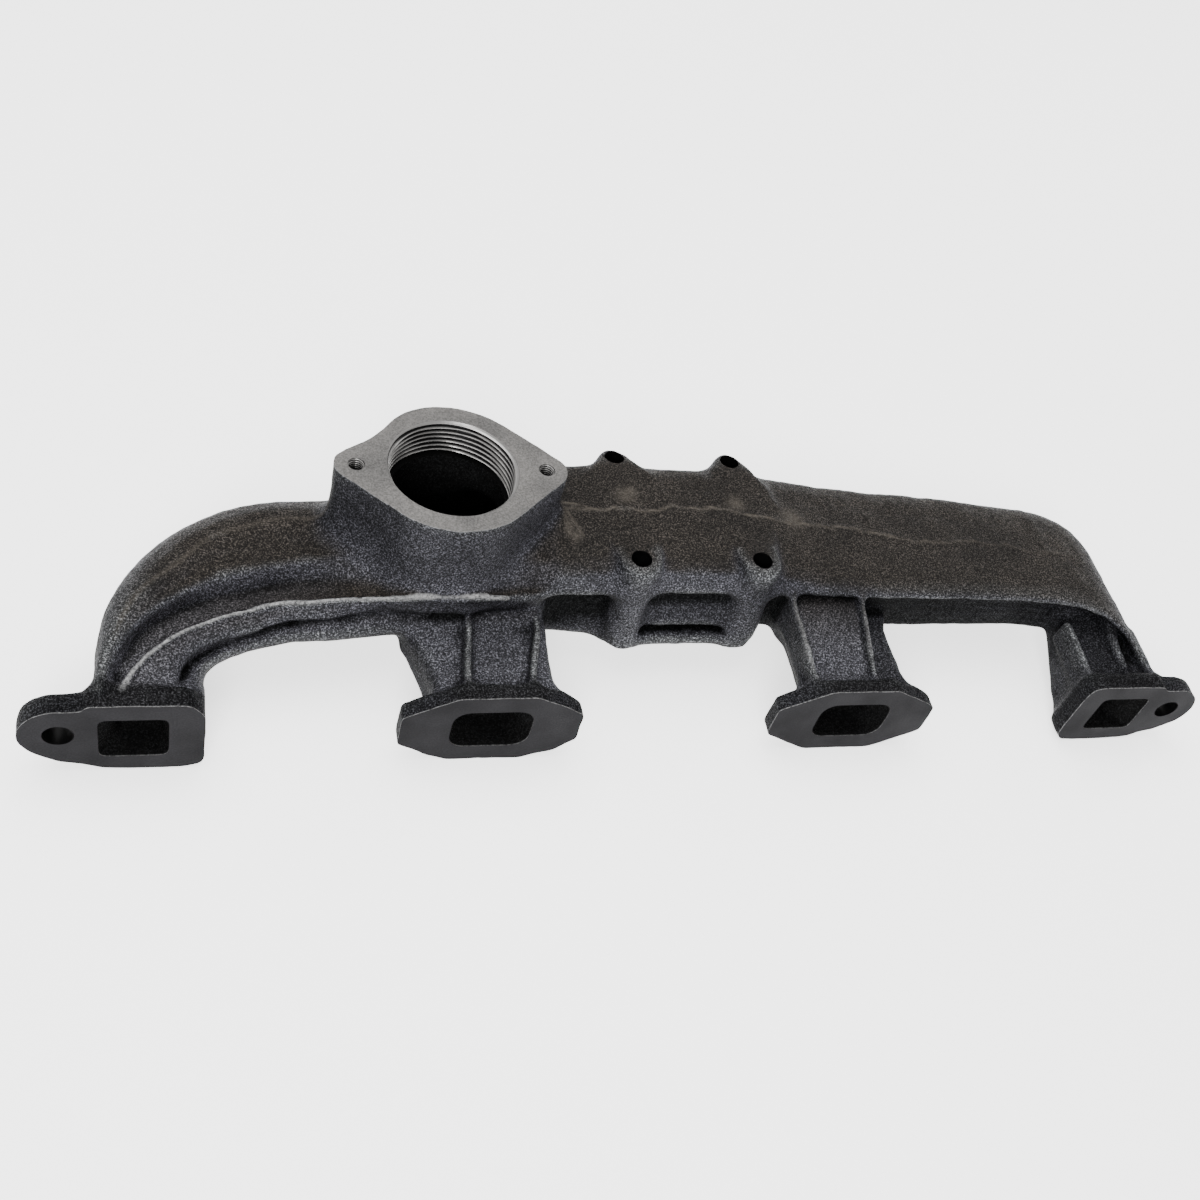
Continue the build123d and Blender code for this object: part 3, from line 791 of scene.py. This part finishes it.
def threaded_plug(name, centre, radius, depth, pitch, top, bottom):
    """A cutter whose wall is a helical thread, with its top above the face and a lead-in chamfer."""
    around = 96
    rows_to_a_pitch = 7
    height = top + 2 - bottom
    rows = int(height / (pitch / rows_to_a_pitch))
    points = []
    for row in range(rows + 1):
        z = bottom + height * row / rows
        for k in range(around):
            phase = (z / pitch - k / around) % 1.0
            groove = 1 - abs(2 * phase - 1)
            reach = radius + depth * min(1.0, 1.25 * groove)
            if z > top - 1.2:
                reach = max(reach, radius + depth + (z - top) * 0.9)
            turn = 2 * math.pi * k / around
            points.append((centre[0] + reach * math.cos(turn), centre[1] + reach * math.sin(turn), z))
    return stack(name, points, around, BORED)


def combined(piece, other, operation):
    """The piece's mesh after a boolean with another closed mesh, which is left as it was."""
    modifier = piece.modifiers.new("cut", "BOOLEAN")
    modifier.operation = operation
    modifier.solver = "MANIFOLD"
    modifier.object = other
    bpy.context.view_layer.update()
    result = bpy.data.meshes.new_from_object(piece.evaluated_get(bpy.context.evaluated_depsgraph_get()))
    piece.modifiers.remove(modifier)
    return result


def carve(piece, cutter):
    result = combined(piece, cutter, "DIFFERENCE")
    old = piece.data
    piece.data = result
    bpy.data.meshes.remove(old)
    bpy.data.objects.remove(cutter)


def machine(casting):
    """The flat faces, the drilled holes and the threads, cut with exact edges."""
    carve(casting, brick("head_face", (-400, -40, -80), (400, 0, 120), MILLED))
    carve(casting, brick("outlet_face", (-400, -40, OUTLET_FACE), (400, 300, OUTLET_FACE + 30), MILLED))
    carve(casting, brick("lower_face", (-45, 55, PAD_BOTTOM - 20), (72, 150, PAD_BOTTOM), MILLED))
    for centre_x in PAD_X:
        for centre_y in (PAD_FRONT_Y, PAD_REAR_Y):
            outline = ring(centre_x, centre_y, PAD_HOLE, 48)
            carve(casting, prism("bolt_hole", outline, -30, 100, BORED))
    for side in (-1, 1):
        hole = prism("stud_hole", ring(side * STUD_X, -STUD_Z, STUD_RADIUS, 56), -30, 60, BORED)
        for vertex in hole.data.vertices:
            x, y, z = vertex.co
            vertex.co = (x, z - PORT_Z * MM, PORT_Z * MM - y)
        carve(casting, hole)
    plug = threaded_plug(
        "outlet_thread", (OUTLET_X, OUTLET_Y), THREAD_RADIUS - 0.4, 1.9, THREAD_PITCH,
        OUTLET_FACE, OUTLET_BASE + 2.5,
    )
    carve(casting, plug)
    offset, radius, depth = OUTLET_BOLT
    for side in (-1, 1):
        centre = (OUTLET_X + side * offset, OUTLET_Y)
        bottom = OUTLET_FACE - depth
        carve(casting, threaded_plug("bolt_thread", centre, radius - 0.3, 0.7, 1.4, OUTLET_FACE, bottom))


# ---- pieces
FAR_X = 400
ALL_Y = (-50, 300)
ALL_Z = (-80, 200)


def regions():
    """Each piece's node and its box's x, y and z, in the order in which the pieces are cut off."""
    outlet_x = (LEFT_CUT, CHAMBER_CUT)
    pad_x = (CHAMBER_CUT, BOLTING_CUT)
    neck_z = corner("bolting_chamber", 1, 2) - PORT_Z - 8
    pad_z = PAD_BOTTOM + 3
    found = [
        ("outlet_flange", outlet_x, ALL_Y, (OUTLET_BASE, ALL_Z[1])),
        ("outlet_neck", outlet_x, ALL_Y, (neck_z, OUTLET_BASE)),
    ]
    for name, x in zip(("left", "right"), PAD_X):
        front_y = (ALL_Y[0], PAD_FRONT_Y + 14)
        rear_y = (PAD_REAR_Y - 10, ALL_Y[1])
        found += [
            (f"front_{name}_bolt_column", (x - 14, x + 14), front_y, (pad_z, ALL_Z[1])),
            (f"rear_{name}_bolt_column", (x - 18, x + 18), rear_y, (pad_z, ALL_Z[1])),
        ]
    found.append(("lower_mounting_pad", pad_x, (45, ALL_Y[1]), (ALL_Z[0], pad_z)))
    for name, sign in (("left", -1), ("right", 1)):
        end_x = sorted((sign * 215, sign * FAR_X))
        centre_x = sorted((sign * 30, sign * 196))
        found += [
            (f"{name}_end_flange", end_x, (ALL_Y[0], END_FLANGE_BACK), ALL_Z),
            (f"{name}_end_runner", end_x, (ALL_Y[0], 40), ALL_Z),
            (f"centre_{name}_flange", centre_x, (ALL_Y[0], CENTRE_FLANGE_BACK), ALL_Z),
            (f"centre_{name}_runner", centre_x, (ALL_Y[0], 52), ALL_Z),
        ]
    return found + [
        ("left_log_elbow", (-FAR_X, LEFT_CUT), ALL_Y, ALL_Z),
        ("outlet_chamber", outlet_x, ALL_Y, ALL_Z),
        ("bolting_chamber", pad_x, ALL_Y, ALL_Z),
        ("right_log_section", (BOLTING_CUT, RIGHT_CUT), ALL_Y, ALL_Z),
        ("right_log_elbow", (RIGHT_CUT, FAR_X), ALL_Y, ALL_Z),
    ]


def split(casting):
    """Cuts the casting into its pieces. Each comes with its node's name."""
    made = []
    for node, *spans in regions():
        cutter = brick("cutter", *zip(*spans))
        mesh = combined(casting, cutter, "INTERSECT")
        mesh.name = "cast_" + node
        made.append((placed(mesh.name, mesh), node))
        carve(casting, cutter)
    bpy.data.objects.remove(casting)
    return made


def sampled(volume, base, part):
    """A grid's values at points given by their cell and their place in it."""
    total = 0
    for corner_index in range(8):
        step = np.array([(corner_index >> axis) & 1 for axis in range(3)])
        weight = np.prod(np.where(step, part, 1 - part), axis=1)
        i, j, k = (base + step).T
        total = total + weight * volume[i, j, k]
    return total


def rims_and_edge_highlights(y, z, s, n, near):
    """Bare metal on the rims of the milled faces, and painted highlights on the sharp edges and on the
    fin's crest.
    """
    rim = (np.abs(y) < 0.05) | (np.abs(z - OUTLET_FACE) < 0.05)
    ridge_n, ridge_z = ridge_line(s)
    fin = np.hypot(n - ridge_n + 0.2, z - ridge_z - 1.7)
    on_fin = progress(s, -343, -335) * progress(s, -88, -100) * progress(fin, 1.8, 0.9)
    return np.maximum(np.maximum(0.6 * rim, 0.3 * progress(near, 0.33, 0.17)), 0.8 * on_fin)


def highlighted_skin(x, y, z, middling, far):
    """Painted highlight on skin that stands out, less of it on the right half's top."""
    highlight = np.maximum(progress(far, 0.41, 0.16), 0.9 * progress(middling, 0.44, 0.28))
    return np.where((x > 60) & (y > 30) & (z > 26), 0.35 * highlight, highlight)


def shaded_skin(x, y, z, slope_x, middling, highlight, cover, inside):
    """Painted shade on skin in a recess, under something, on a flange's side, or facing away from the
    light.
    """
    flange_back = np.where(np.abs(x) > 200, END_FLANGE_BACK, CENTRE_FLANGE_BACK)
    flange_side = progress(y, flange_back + 3, flange_back - 1) * (inside > 3)
    in_elbow = (x > 262) & (x < 303) & (y > END_FLANGE_BACK) & (y < 62) & (z < 26)
    beside_rib = (x > 119) & (x < 150) & (y > CENTRE_FLANGE_BACK) & (y < 62) & (z < 20)
    between_columns = (x > PAD_X[0] + 8) & (x < PAD_X[1] - 8) & (y < 80) & (z > 10) & (z < 35)
    # Painted shade in creases, and painted shadow under iron that lies above.
    dark = np.maximum(progress(middling, 0.56, 0.72), progress(cover, 0.12, 0.52))
    # Painted shade on flange sides, on faces turned to -x, in the right elbow, beside the right rib and
    # between the columns, kept off painted highlights.
    for strength, place in (
        (0.8, flange_side),
        (0.6, progress(-slope_x, 0.45, 0.85)),
        (0.75, in_elbow * (1 - highlight)),
        (0.65, beside_rib * (1 - highlight)),
        (0.4, between_columns * (1 - highlight)),
    ):
        dark = np.maximum(dark, strength * place)
    return dark


def tan_marks(x, y, z, s, n, inside):
    """The parting line's flash, scratches and scuffs, and a faint line on the left arm."""
    offset = np.abs(y - parting_line(x) - 1.2)
    broken = 0.62 + 0.38 * np.sin(x / 6.3) * np.sin(x / 2.7 + 1)
    marks = progress(offset, 1.3, 0.3) * np.clip((300 - x) / 200, 0.35, 1) * broken
    for (start_x, start_y), (end_x, end_y) in SCRATCHES:
        run_x, run_y = end_x - start_x, end_y - start_y
        along = ((x - start_x) * run_x + (y - start_y) * run_y) / (run_x ** 2 + run_y ** 2)
        along = np.clip(along, 0, 1)
        gap = np.hypot(x - start_x - run_x * along, y - start_y - run_y * along)
        marks = np.maximum(marks, 0.6 * progress(gap, 1.2, 0.2))
    for patch_x, patch_y, size in SCUFFS:
        patch = np.exp(-((x - patch_x) ** 2 + (y - patch_y) ** 2) / size ** 2)
        marks = np.maximum(marks, 0.55 * patch)
    on_top = (z > 24) & (x > -62) & (x < 292)
    crown_gap = np.abs(n - track(CROWN, 1, s) - 0.8 * np.sin(s / 7))
    on_arm = progress(s, -322, -310) * progress(s, -160, -200) * (z > 28)
    crown_line = 0.32 * on_arm * progress(crown_gap, 1.6, 0.6)
    return np.maximum(on_top * marks, crown_line) * (inside > 3)


def thread_depth(x, y, z):
    """Painted shade for the holes: 0 on the crest of a thread, 1 at its root and far down a hole."""
    from_bore = np.hypot(x - OUTLET_X, y - OUTLET_Y)
    root = progress(from_bore, THREAD_RADIUS - 0.3, THREAD_RADIUS + 0.4)
    root = root * np.where(z > OUTLET_FACE - 1.3, 0.4, 1)
    depth = np.where((from_bore < 40) & (z > OUTLET_BASE + 3.2), root, 1)
    offset, radius = OUTLET_BOLT[:2]
    from_hole = np.hypot(np.abs(x - OUTLET_X) - offset, y - OUTLET_Y)
    tapped = 0.25 + (from_hole - radius + 0.1) / 0.5 + (OUTLET_FACE - z) / 8
    return np.where((from_hole < 6) & (z > OUTLET_BASE), np.clip(tapped, 0, 1), depth)


def paint(mesh, places, slope_x, bulk, cover, inside):
    """Stores what the materials need to know about each point of the skin.

    bulk says how much iron there is near each point: half on a flat face, less on an edge. cover is
    how much there is above it. inside is its distance from the gas passage.
    """
    x, y, z = places.T
    s, n = path_coordinates(x, y)
    near, middling, far = bulk
    highlight = highlighted_skin(x, y, z, middling, far)
    values = {
        # bare rims, and painted highlights on sharp edges and on the fin's crest
        "wear_and_highlight": rims_and_edge_highlights(y, z, s, n, near),
        # painted highlight, kept off skin that has iron above it
        "highlight": highlight * (1 - progress(cover, 0, 0.3)),
        # painted shade
        "painted_shade": shaded_skin(x, y, z, slope_x, middling, highlight, cover, inside),
        "high": progress(z, 20, 34),
        # the gas passage's walls, dark with carbon and with painted shade
        "inside": progress(inside, 0.5, -1.5),
        "flash": tan_marks(x, y, z, s, n, inside),
        # painted shade in the thread roots and down the holes
        "thread_shade": thread_depth(x, y, z),
    }
    for name, value in values.items():
        store = mesh.attributes.new(name, "FLOAT", "POINT")
        store.data.foreach_set("value", np.ascontiguousarray(value, np.float32))


def read(items, name, width, kind):
    """One attribute of many mesh items, with a row for each item."""
    values = np.empty(len(items) * width, kind)
    items.foreach_get(name, values)
    return values.reshape(-1, width)


def cells(places):
    """The grid cell that holds each place, and where in that cell the place is."""
    where = (places - np.array(FIELD_LOW)) / CELL
    base = np.clip(np.floor(where).astype(int), 0, np.array(SHAPE) - 2)
    return base, np.clip(where - base, 0, 1)


def finish_skin(piece, slopes, bulk, cavity):
    """Paints a piece and shades its cast skin by the field's slope, so that no cut shows."""
    mesh = piece.data
    places = read(mesh.vertices, "co", 3, np.float32) / MM
    places[:, 2] -= PORT_Z
    here = cells(places)
    slope = np.stack([sampled(g, *here) for g in slopes], axis=1)
    slope /= np.maximum(np.linalg.norm(slope, axis=1), 1e-6)[:, None]
    # cover is the iron above each point, which places painted shadow under overhangs.
    cover = 0
    for up in (8, 14, 20, 26, 32):
        above = cells(places + 5 * slope + (0, 0, up))
        cover = np.maximum(cover, sampled(bulk[1], *above))
    bulk_here = [sampled(volume, *here) for volume in bulk]
    paint(mesh, places, slope[:, 0], bulk_here, cover, sampled(cavity, *here))
    corners = read(mesh.polygons, "loop_total", 1, np.int32)[:, 0]
    flat = np.repeat(read(mesh.polygons, "normal", 3, np.float32), corners, axis=0)
    cast = np.repeat(read(mesh.polygons, "material_index", 1, np.int32) == CAST, corners, axis=0)
    vertices = read(mesh.loops, "vertex_index", 1, np.int32)[:, 0]
    normals = np.where(cast, slope[vertices], flat)
    agrees = (normals * flat).sum(axis=1, keepdims=True) > 0.3
    normals = np.where(agrees, normals, flat)
    mesh.polygons.foreach_set("use_smooth", [True] * len(mesh.polygons))
    mesh.normals_split_custom_set(normals.tolist())


# ---- materials
def shader(name, metallic):
    material = bpy.data.materials.new(name)
    material.use_nodes = True
    tree = material.node_tree
    surface = tree.nodes["Principled BSDF"]
    surface.inputs["Metallic"].default_value = metallic
    return material, tree, surface


def add_node(tree, kind, inputs):
    """A node whose inputs are set to values or linked to other nodes' outputs."""
    node = tree.nodes.new("ShaderNode" + kind)
    for name, value in inputs.items():
        if isinstance(value, bpy.types.NodeSocket):
            tree.links.new(value, node.inputs[name])
        else:
            node.inputs[name].default_value = value
    return node


def noise(tree, scale, detail, roughness=0.55):
    place = add_node(tree, "NewGeometry", {}).outputs["Position"]
    inputs = {"Vector": place, "Scale": scale, "Detail": detail, "Roughness": roughness}
    return add_node(tree, "TexNoise", inputs).outputs["Fac"]


def ramp(value, *stops):
    node = add_node(value.id_data, "ValToRGB", {"Fac": value})
    elements = node.color_ramp.elements
    for position, colour in stops:
        elements.new(position).color = (*colour, 1)
    elements.remove(elements[0])
    elements.remove(elements[-1])
    return node.outputs["Color"]


def blend(factor, first, second, kind="MIX"):
    tree = first.id_data
    node = tree.nodes.new("ShaderNodeMix")
    node.data_type = "RGBA"
    node.blend_type = kind
    node.inputs["Factor"].default_value = 1.0
    if factor is not None:
        tree.links.new(factor, node.inputs["Factor"])
    tree.links.new(first, node.inputs["A"])
    tree.links.new(second, node.inputs["B"])
    return node.outputs["Result"]


def dress(tree, surface, colour, gloss, bumps):
    """Links a surface's colour, roughness and bumps. Each bump is a height, metres and strength."""
    tree.links.new(colour, surface.inputs["Base Color"])
    tree.links.new(gloss, surface.inputs["Roughness"])
    inputs = {}
    for height, distance, strength in bumps:
        inputs |= {"Height": height, "Distance": distance, "Strength": strength}
        inputs["Normal"] = add_node(tree, "Bump", inputs).outputs["Normal"]
    tree.links.new(inputs["Normal"], surface.inputs["Normal"])


def grey(value, warmth=0.0):
    return (value * (1 + warmth), value, value * (1 - warmth))


def layer(tree, name):
    node = tree.nodes.new("ShaderNodeAttribute")
    node.attribute_name = name
    return node.outputs["Fac"]


def facing(tree, low, high):
    """0 on skin whose normal's height is under low, 1 where it's over high."""
    normal = add_node(tree, "NewGeometry", {}).outputs["Normal"]
    height = add_node(tree, "SeparateXYZ", {"Vector": normal}).outputs["Z"]
    inputs = {"Value": height, "From Min": low, "From Max": high}
    return add_node(tree, "MapRange", inputs).outputs["Result"]


def cast_iron():
    """Sand-cast skin, with light painted in: brown on top, blue-grey in front, painted shade below and in
    recesses, painted highlights on edges.
    """
    material, tree, surface = shader("as_cast_iron", 0.1)
    # The specular level drops where the painted shade lies.
    shaded_specular = ramp(layer(tree, "painted_shade"), (0.0, grey(0.1)), (0.8, grey(0.015)))
    tree.links.new(shaded_specular, surface.inputs["Specular IOR Level"])
    patches = noise(tree, 26, 4)
    sand = noise(tree, 1150, 2, 0.7)
    grit = noise(tree, 620, 3, 0.7)
    brown = ramp(patches, (0.3, (0.0062, 0.0054, 0.0047)), (0.75, (0.014, 0.012, 0.0102)))
    blue = ramp(patches, (0.3, (0.015, 0.015, 0.0178)), (0.7, (0.027, 0.027, 0.0315)))
    panel = ramp(patches, (0.3, (0.021, 0.021, 0.0242)), (0.7, (0.038, 0.038, 0.0435)))
    brown = blend(layer(tree, "high"), panel, brown)
    under = ramp(patches, (0.3, (0.0025, 0.0025, 0.003)), (0.7, (0.0045, 0.0045, 0.0055)))
    # Painted light by the way the skin faces: blue-grey where it looks forward, brown where it looks up,
    # painted shade where it looks down.
    base = blend(facing(tree, 0.45, 0.95), blue, brown)
    base = blend(facing(tree, -0.25, 0.2), under, base)
    # Painted highlight on skin that stands out.
    lit = ramp(grit, (0.35, grey(0.022, -0.04)), (0.6, grey(0.056, -0.03)))
    base = blend(layer(tree, "highlight"), base, lit)
    # Painted shade in recesses, under overhangs, on flange sides and on faces turned away from the light.
    shade = ramp(patches, (0.3, grey(0.0020, -0.04)), (0.7, grey(0.0042, -0.04)))
    base = blend(layer(tree, "painted_shade"), base, shade)
    # Sand grain, with painted glints where the grain is brightest.
    speck = ramp(sand, (0.36, grey(0.3)), (0.52, grey(1.0)), (0.68, grey(6.0)))
    colour = blend(None, base, speck, "MULTIPLY")
    # Bare metal on the rims, and painted highlights on sharp edges and on the fin's crest.
    wear_and_highlight_colour = ramp(grit, (0.32, grey(0.05)), (0.6, grey(0.36)))
    colour = blend(layer(tree, "wear_and_highlight"), colour, wear_and_highlight_colour)
    tan = ramp(grit, (0.3, (0.035, 0.030, 0.025)), (0.6, (0.085, 0.074, 0.061)))
    colour = blend(layer(tree, "flash"), colour, tan)
    # Soot in the gas passage, darkened further as painted shade.
    soot_and_shade = ramp(grit, (0.3, grey(0.002)), (0.7, grey(0.02, 0.04)))
    colour = blend(layer(tree, "inside"), colour, soot_and_shade)
    gloss = ramp(sand, (0.38, grey(0.75)), (0.66, grey(0.36)))
    dress(tree, surface, colour, gloss, [(noise(tree, 240, 3, 0.6), 0.0009, 0.5), (sand, 0.0006, 0.9)])
    return material


def machined_iron():
    """A milled face, painted paler where it faces up than where it faces the front, as painted light."""
    material, tree, surface = shader("machined_iron", 0.1)
    surface.inputs["Specular IOR Level"].default_value = 0.05
    patches = noise(tree, 35, 5)
    fine = noise(tree, 1100, 2)
    # Lit and shaded copies of one milled finish: dark where the face looks forward, pale where it looks
    # up.
    front = ramp(patches, (0.35, (0.0065, 0.0063, 0.0072)), (0.62, (0.0098, 0.0095, 0.0108)))
    top = ramp(patches, (0.35, grey(0.083, 0.03)), (0.62, grey(0.118, 0.04)))
    base = blend(facing(tree, 0.3, 0.9), front, top)
    speck = ramp(fine, (0.35, grey(0.75)), (0.65, grey(1.3)))
    colour = blend(None, base, speck, "MULTIPLY")
    gloss = ramp(patches, (0.3, grey(0.62)), (0.7, grey(0.5)))
    dress(tree, surface, colour, gloss, [(fine, 0.0002, 0.35)])
    return material


def bored_iron():
    """Cut metal in the holes: bright thread crests, with painted shade in the roots and down the holes.
    """
    material, tree, surface = shader("bored_iron", 0.6)
    surface.inputs["Specular IOR Level"].default_value = 0.15
    patches = noise(tree, 60, 4)
    crest = ramp(patches, (0.3, grey(0.30, 0.02)), (0.7, grey(0.45, 0.03)))
    root = ramp(patches, (0.3, grey(0.003)), (0.7, grey(0.006)))
    # Painted shade in the thread roots and down the holes.
    colour = blend(layer(tree, "thread_shade"), crest, root)
    gloss = ramp(patches, (0.3, grey(0.45)), (0.7, grey(0.35)))
    dress(tree, surface, colour, gloss, [(noise(tree, 700, 2), 0.0001, 0.3)])
    return material


def paper():
    """The studio's white sheet, lit a little from behind."""
    material, tree, surface = shader("paper", 0.0)
    base = ramp(noise(tree, 3, 2), (0.3, grey(0.89)), (0.7, grey(0.90)))
    tree.links.new(base, surface.inputs["Base Color"])
    surface.inputs["Roughness"].default_value = 0.9
    surface.inputs["Emission Color"].default_value = (1, 1, 1, 1)
    surface.inputs["Emission Strength"].default_value = 1.8
    return material


# ---- camera, floor and light
CAMERA_PLACE = (-0.27543, -0.42303, 0.6060)
CAMERA_RIGHT = (0.95267, -0.19311, 0.23478)
CAMERA_UP = (-0.00339, 0.76552, 0.64340)
CAMERA_BACK = (-0.30398, -0.61375, 0.72864)


def camera():
    """The photograph's view, from above the head side and left of the middle."""
    data = bpy.data.cameras.new("camera")
    data.sensor_width = 36
    data.lens = 42.99
    data.shift_x = -0.0085
    data.shift_y = -0.0011
    data.clip_start = 0.01
    item = placed("camera", data)
    turn = Matrix((CAMERA_RIGHT, CAMERA_UP, CAMERA_BACK)).transposed().to_4x4()
    item.matrix_world = Matrix.Translation(CAMERA_PLACE) @ turn
    bpy.context.scene.camera = item


def lay_sheet(height):
    """The plain sheet that the manifold lies on."""
    half = 6.0
    points = [(-half, -half, height), (half, -half, height), (half, half, height), (-half, half, height)]
    mesh = bpy.data.meshes.new("floor")
    mesh.from_pydata(points, [], [(0, 1, 2, 3)])
    mesh.materials.append(paper())
    placed("floor", mesh)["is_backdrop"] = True


def lamp(name, place, target, size, power):
    data = bpy.data.lights.new(name, "AREA")
    data.shape = "RECTANGLE"
    data.size, data.size_y = size
    data.energy = power
    item = placed(name, data)
    item.location = place
    item.rotation_euler = (Vector(target) - Vector(place)).to_track_quat("-Z", "Y").to_euler()


def studio():
    world = bpy.data.worlds.new("world")
    world.use_nodes = True
    background = world.node_tree.nodes["Background"]
    background.inputs["Color"].default_value = (1, 1, 1, 1)
    background.inputs["Strength"].default_value = 0.55
    bpy.context.scene.world = world
    lamp("overhead", (-0.3, 0.5, 2.0), (0, 0.1, 0), (2.4, 2.0), 75)
    lamp("key", (-0.6, -1.4, 1.15), (-0.05, 0.08, 0), (0.6, 0.6), 38)
    lamp("rim", (1.3, 0.9, 0.8), (0, 0.08, 0), (0.5, 0.5), 6)


def main():
    camera()
    field, bulk, cavity = build_field()
    slopes = np.gradient(field)
    casting = skin(field)
    machine(casting)
    finishes = (cast_iron(), machined_iron(), bored_iron())
    for piece, node in split(casting):
        open_slots(piece.data)
        for index, finish in enumerate(finishes):
            piece.data.materials[index] = finish
        finish_skin(piece, slopes, bulk, cavity)
        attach(piece, "root")
        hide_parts(node)
    lay_sheet(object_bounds()[0][2])
    studio()


main()
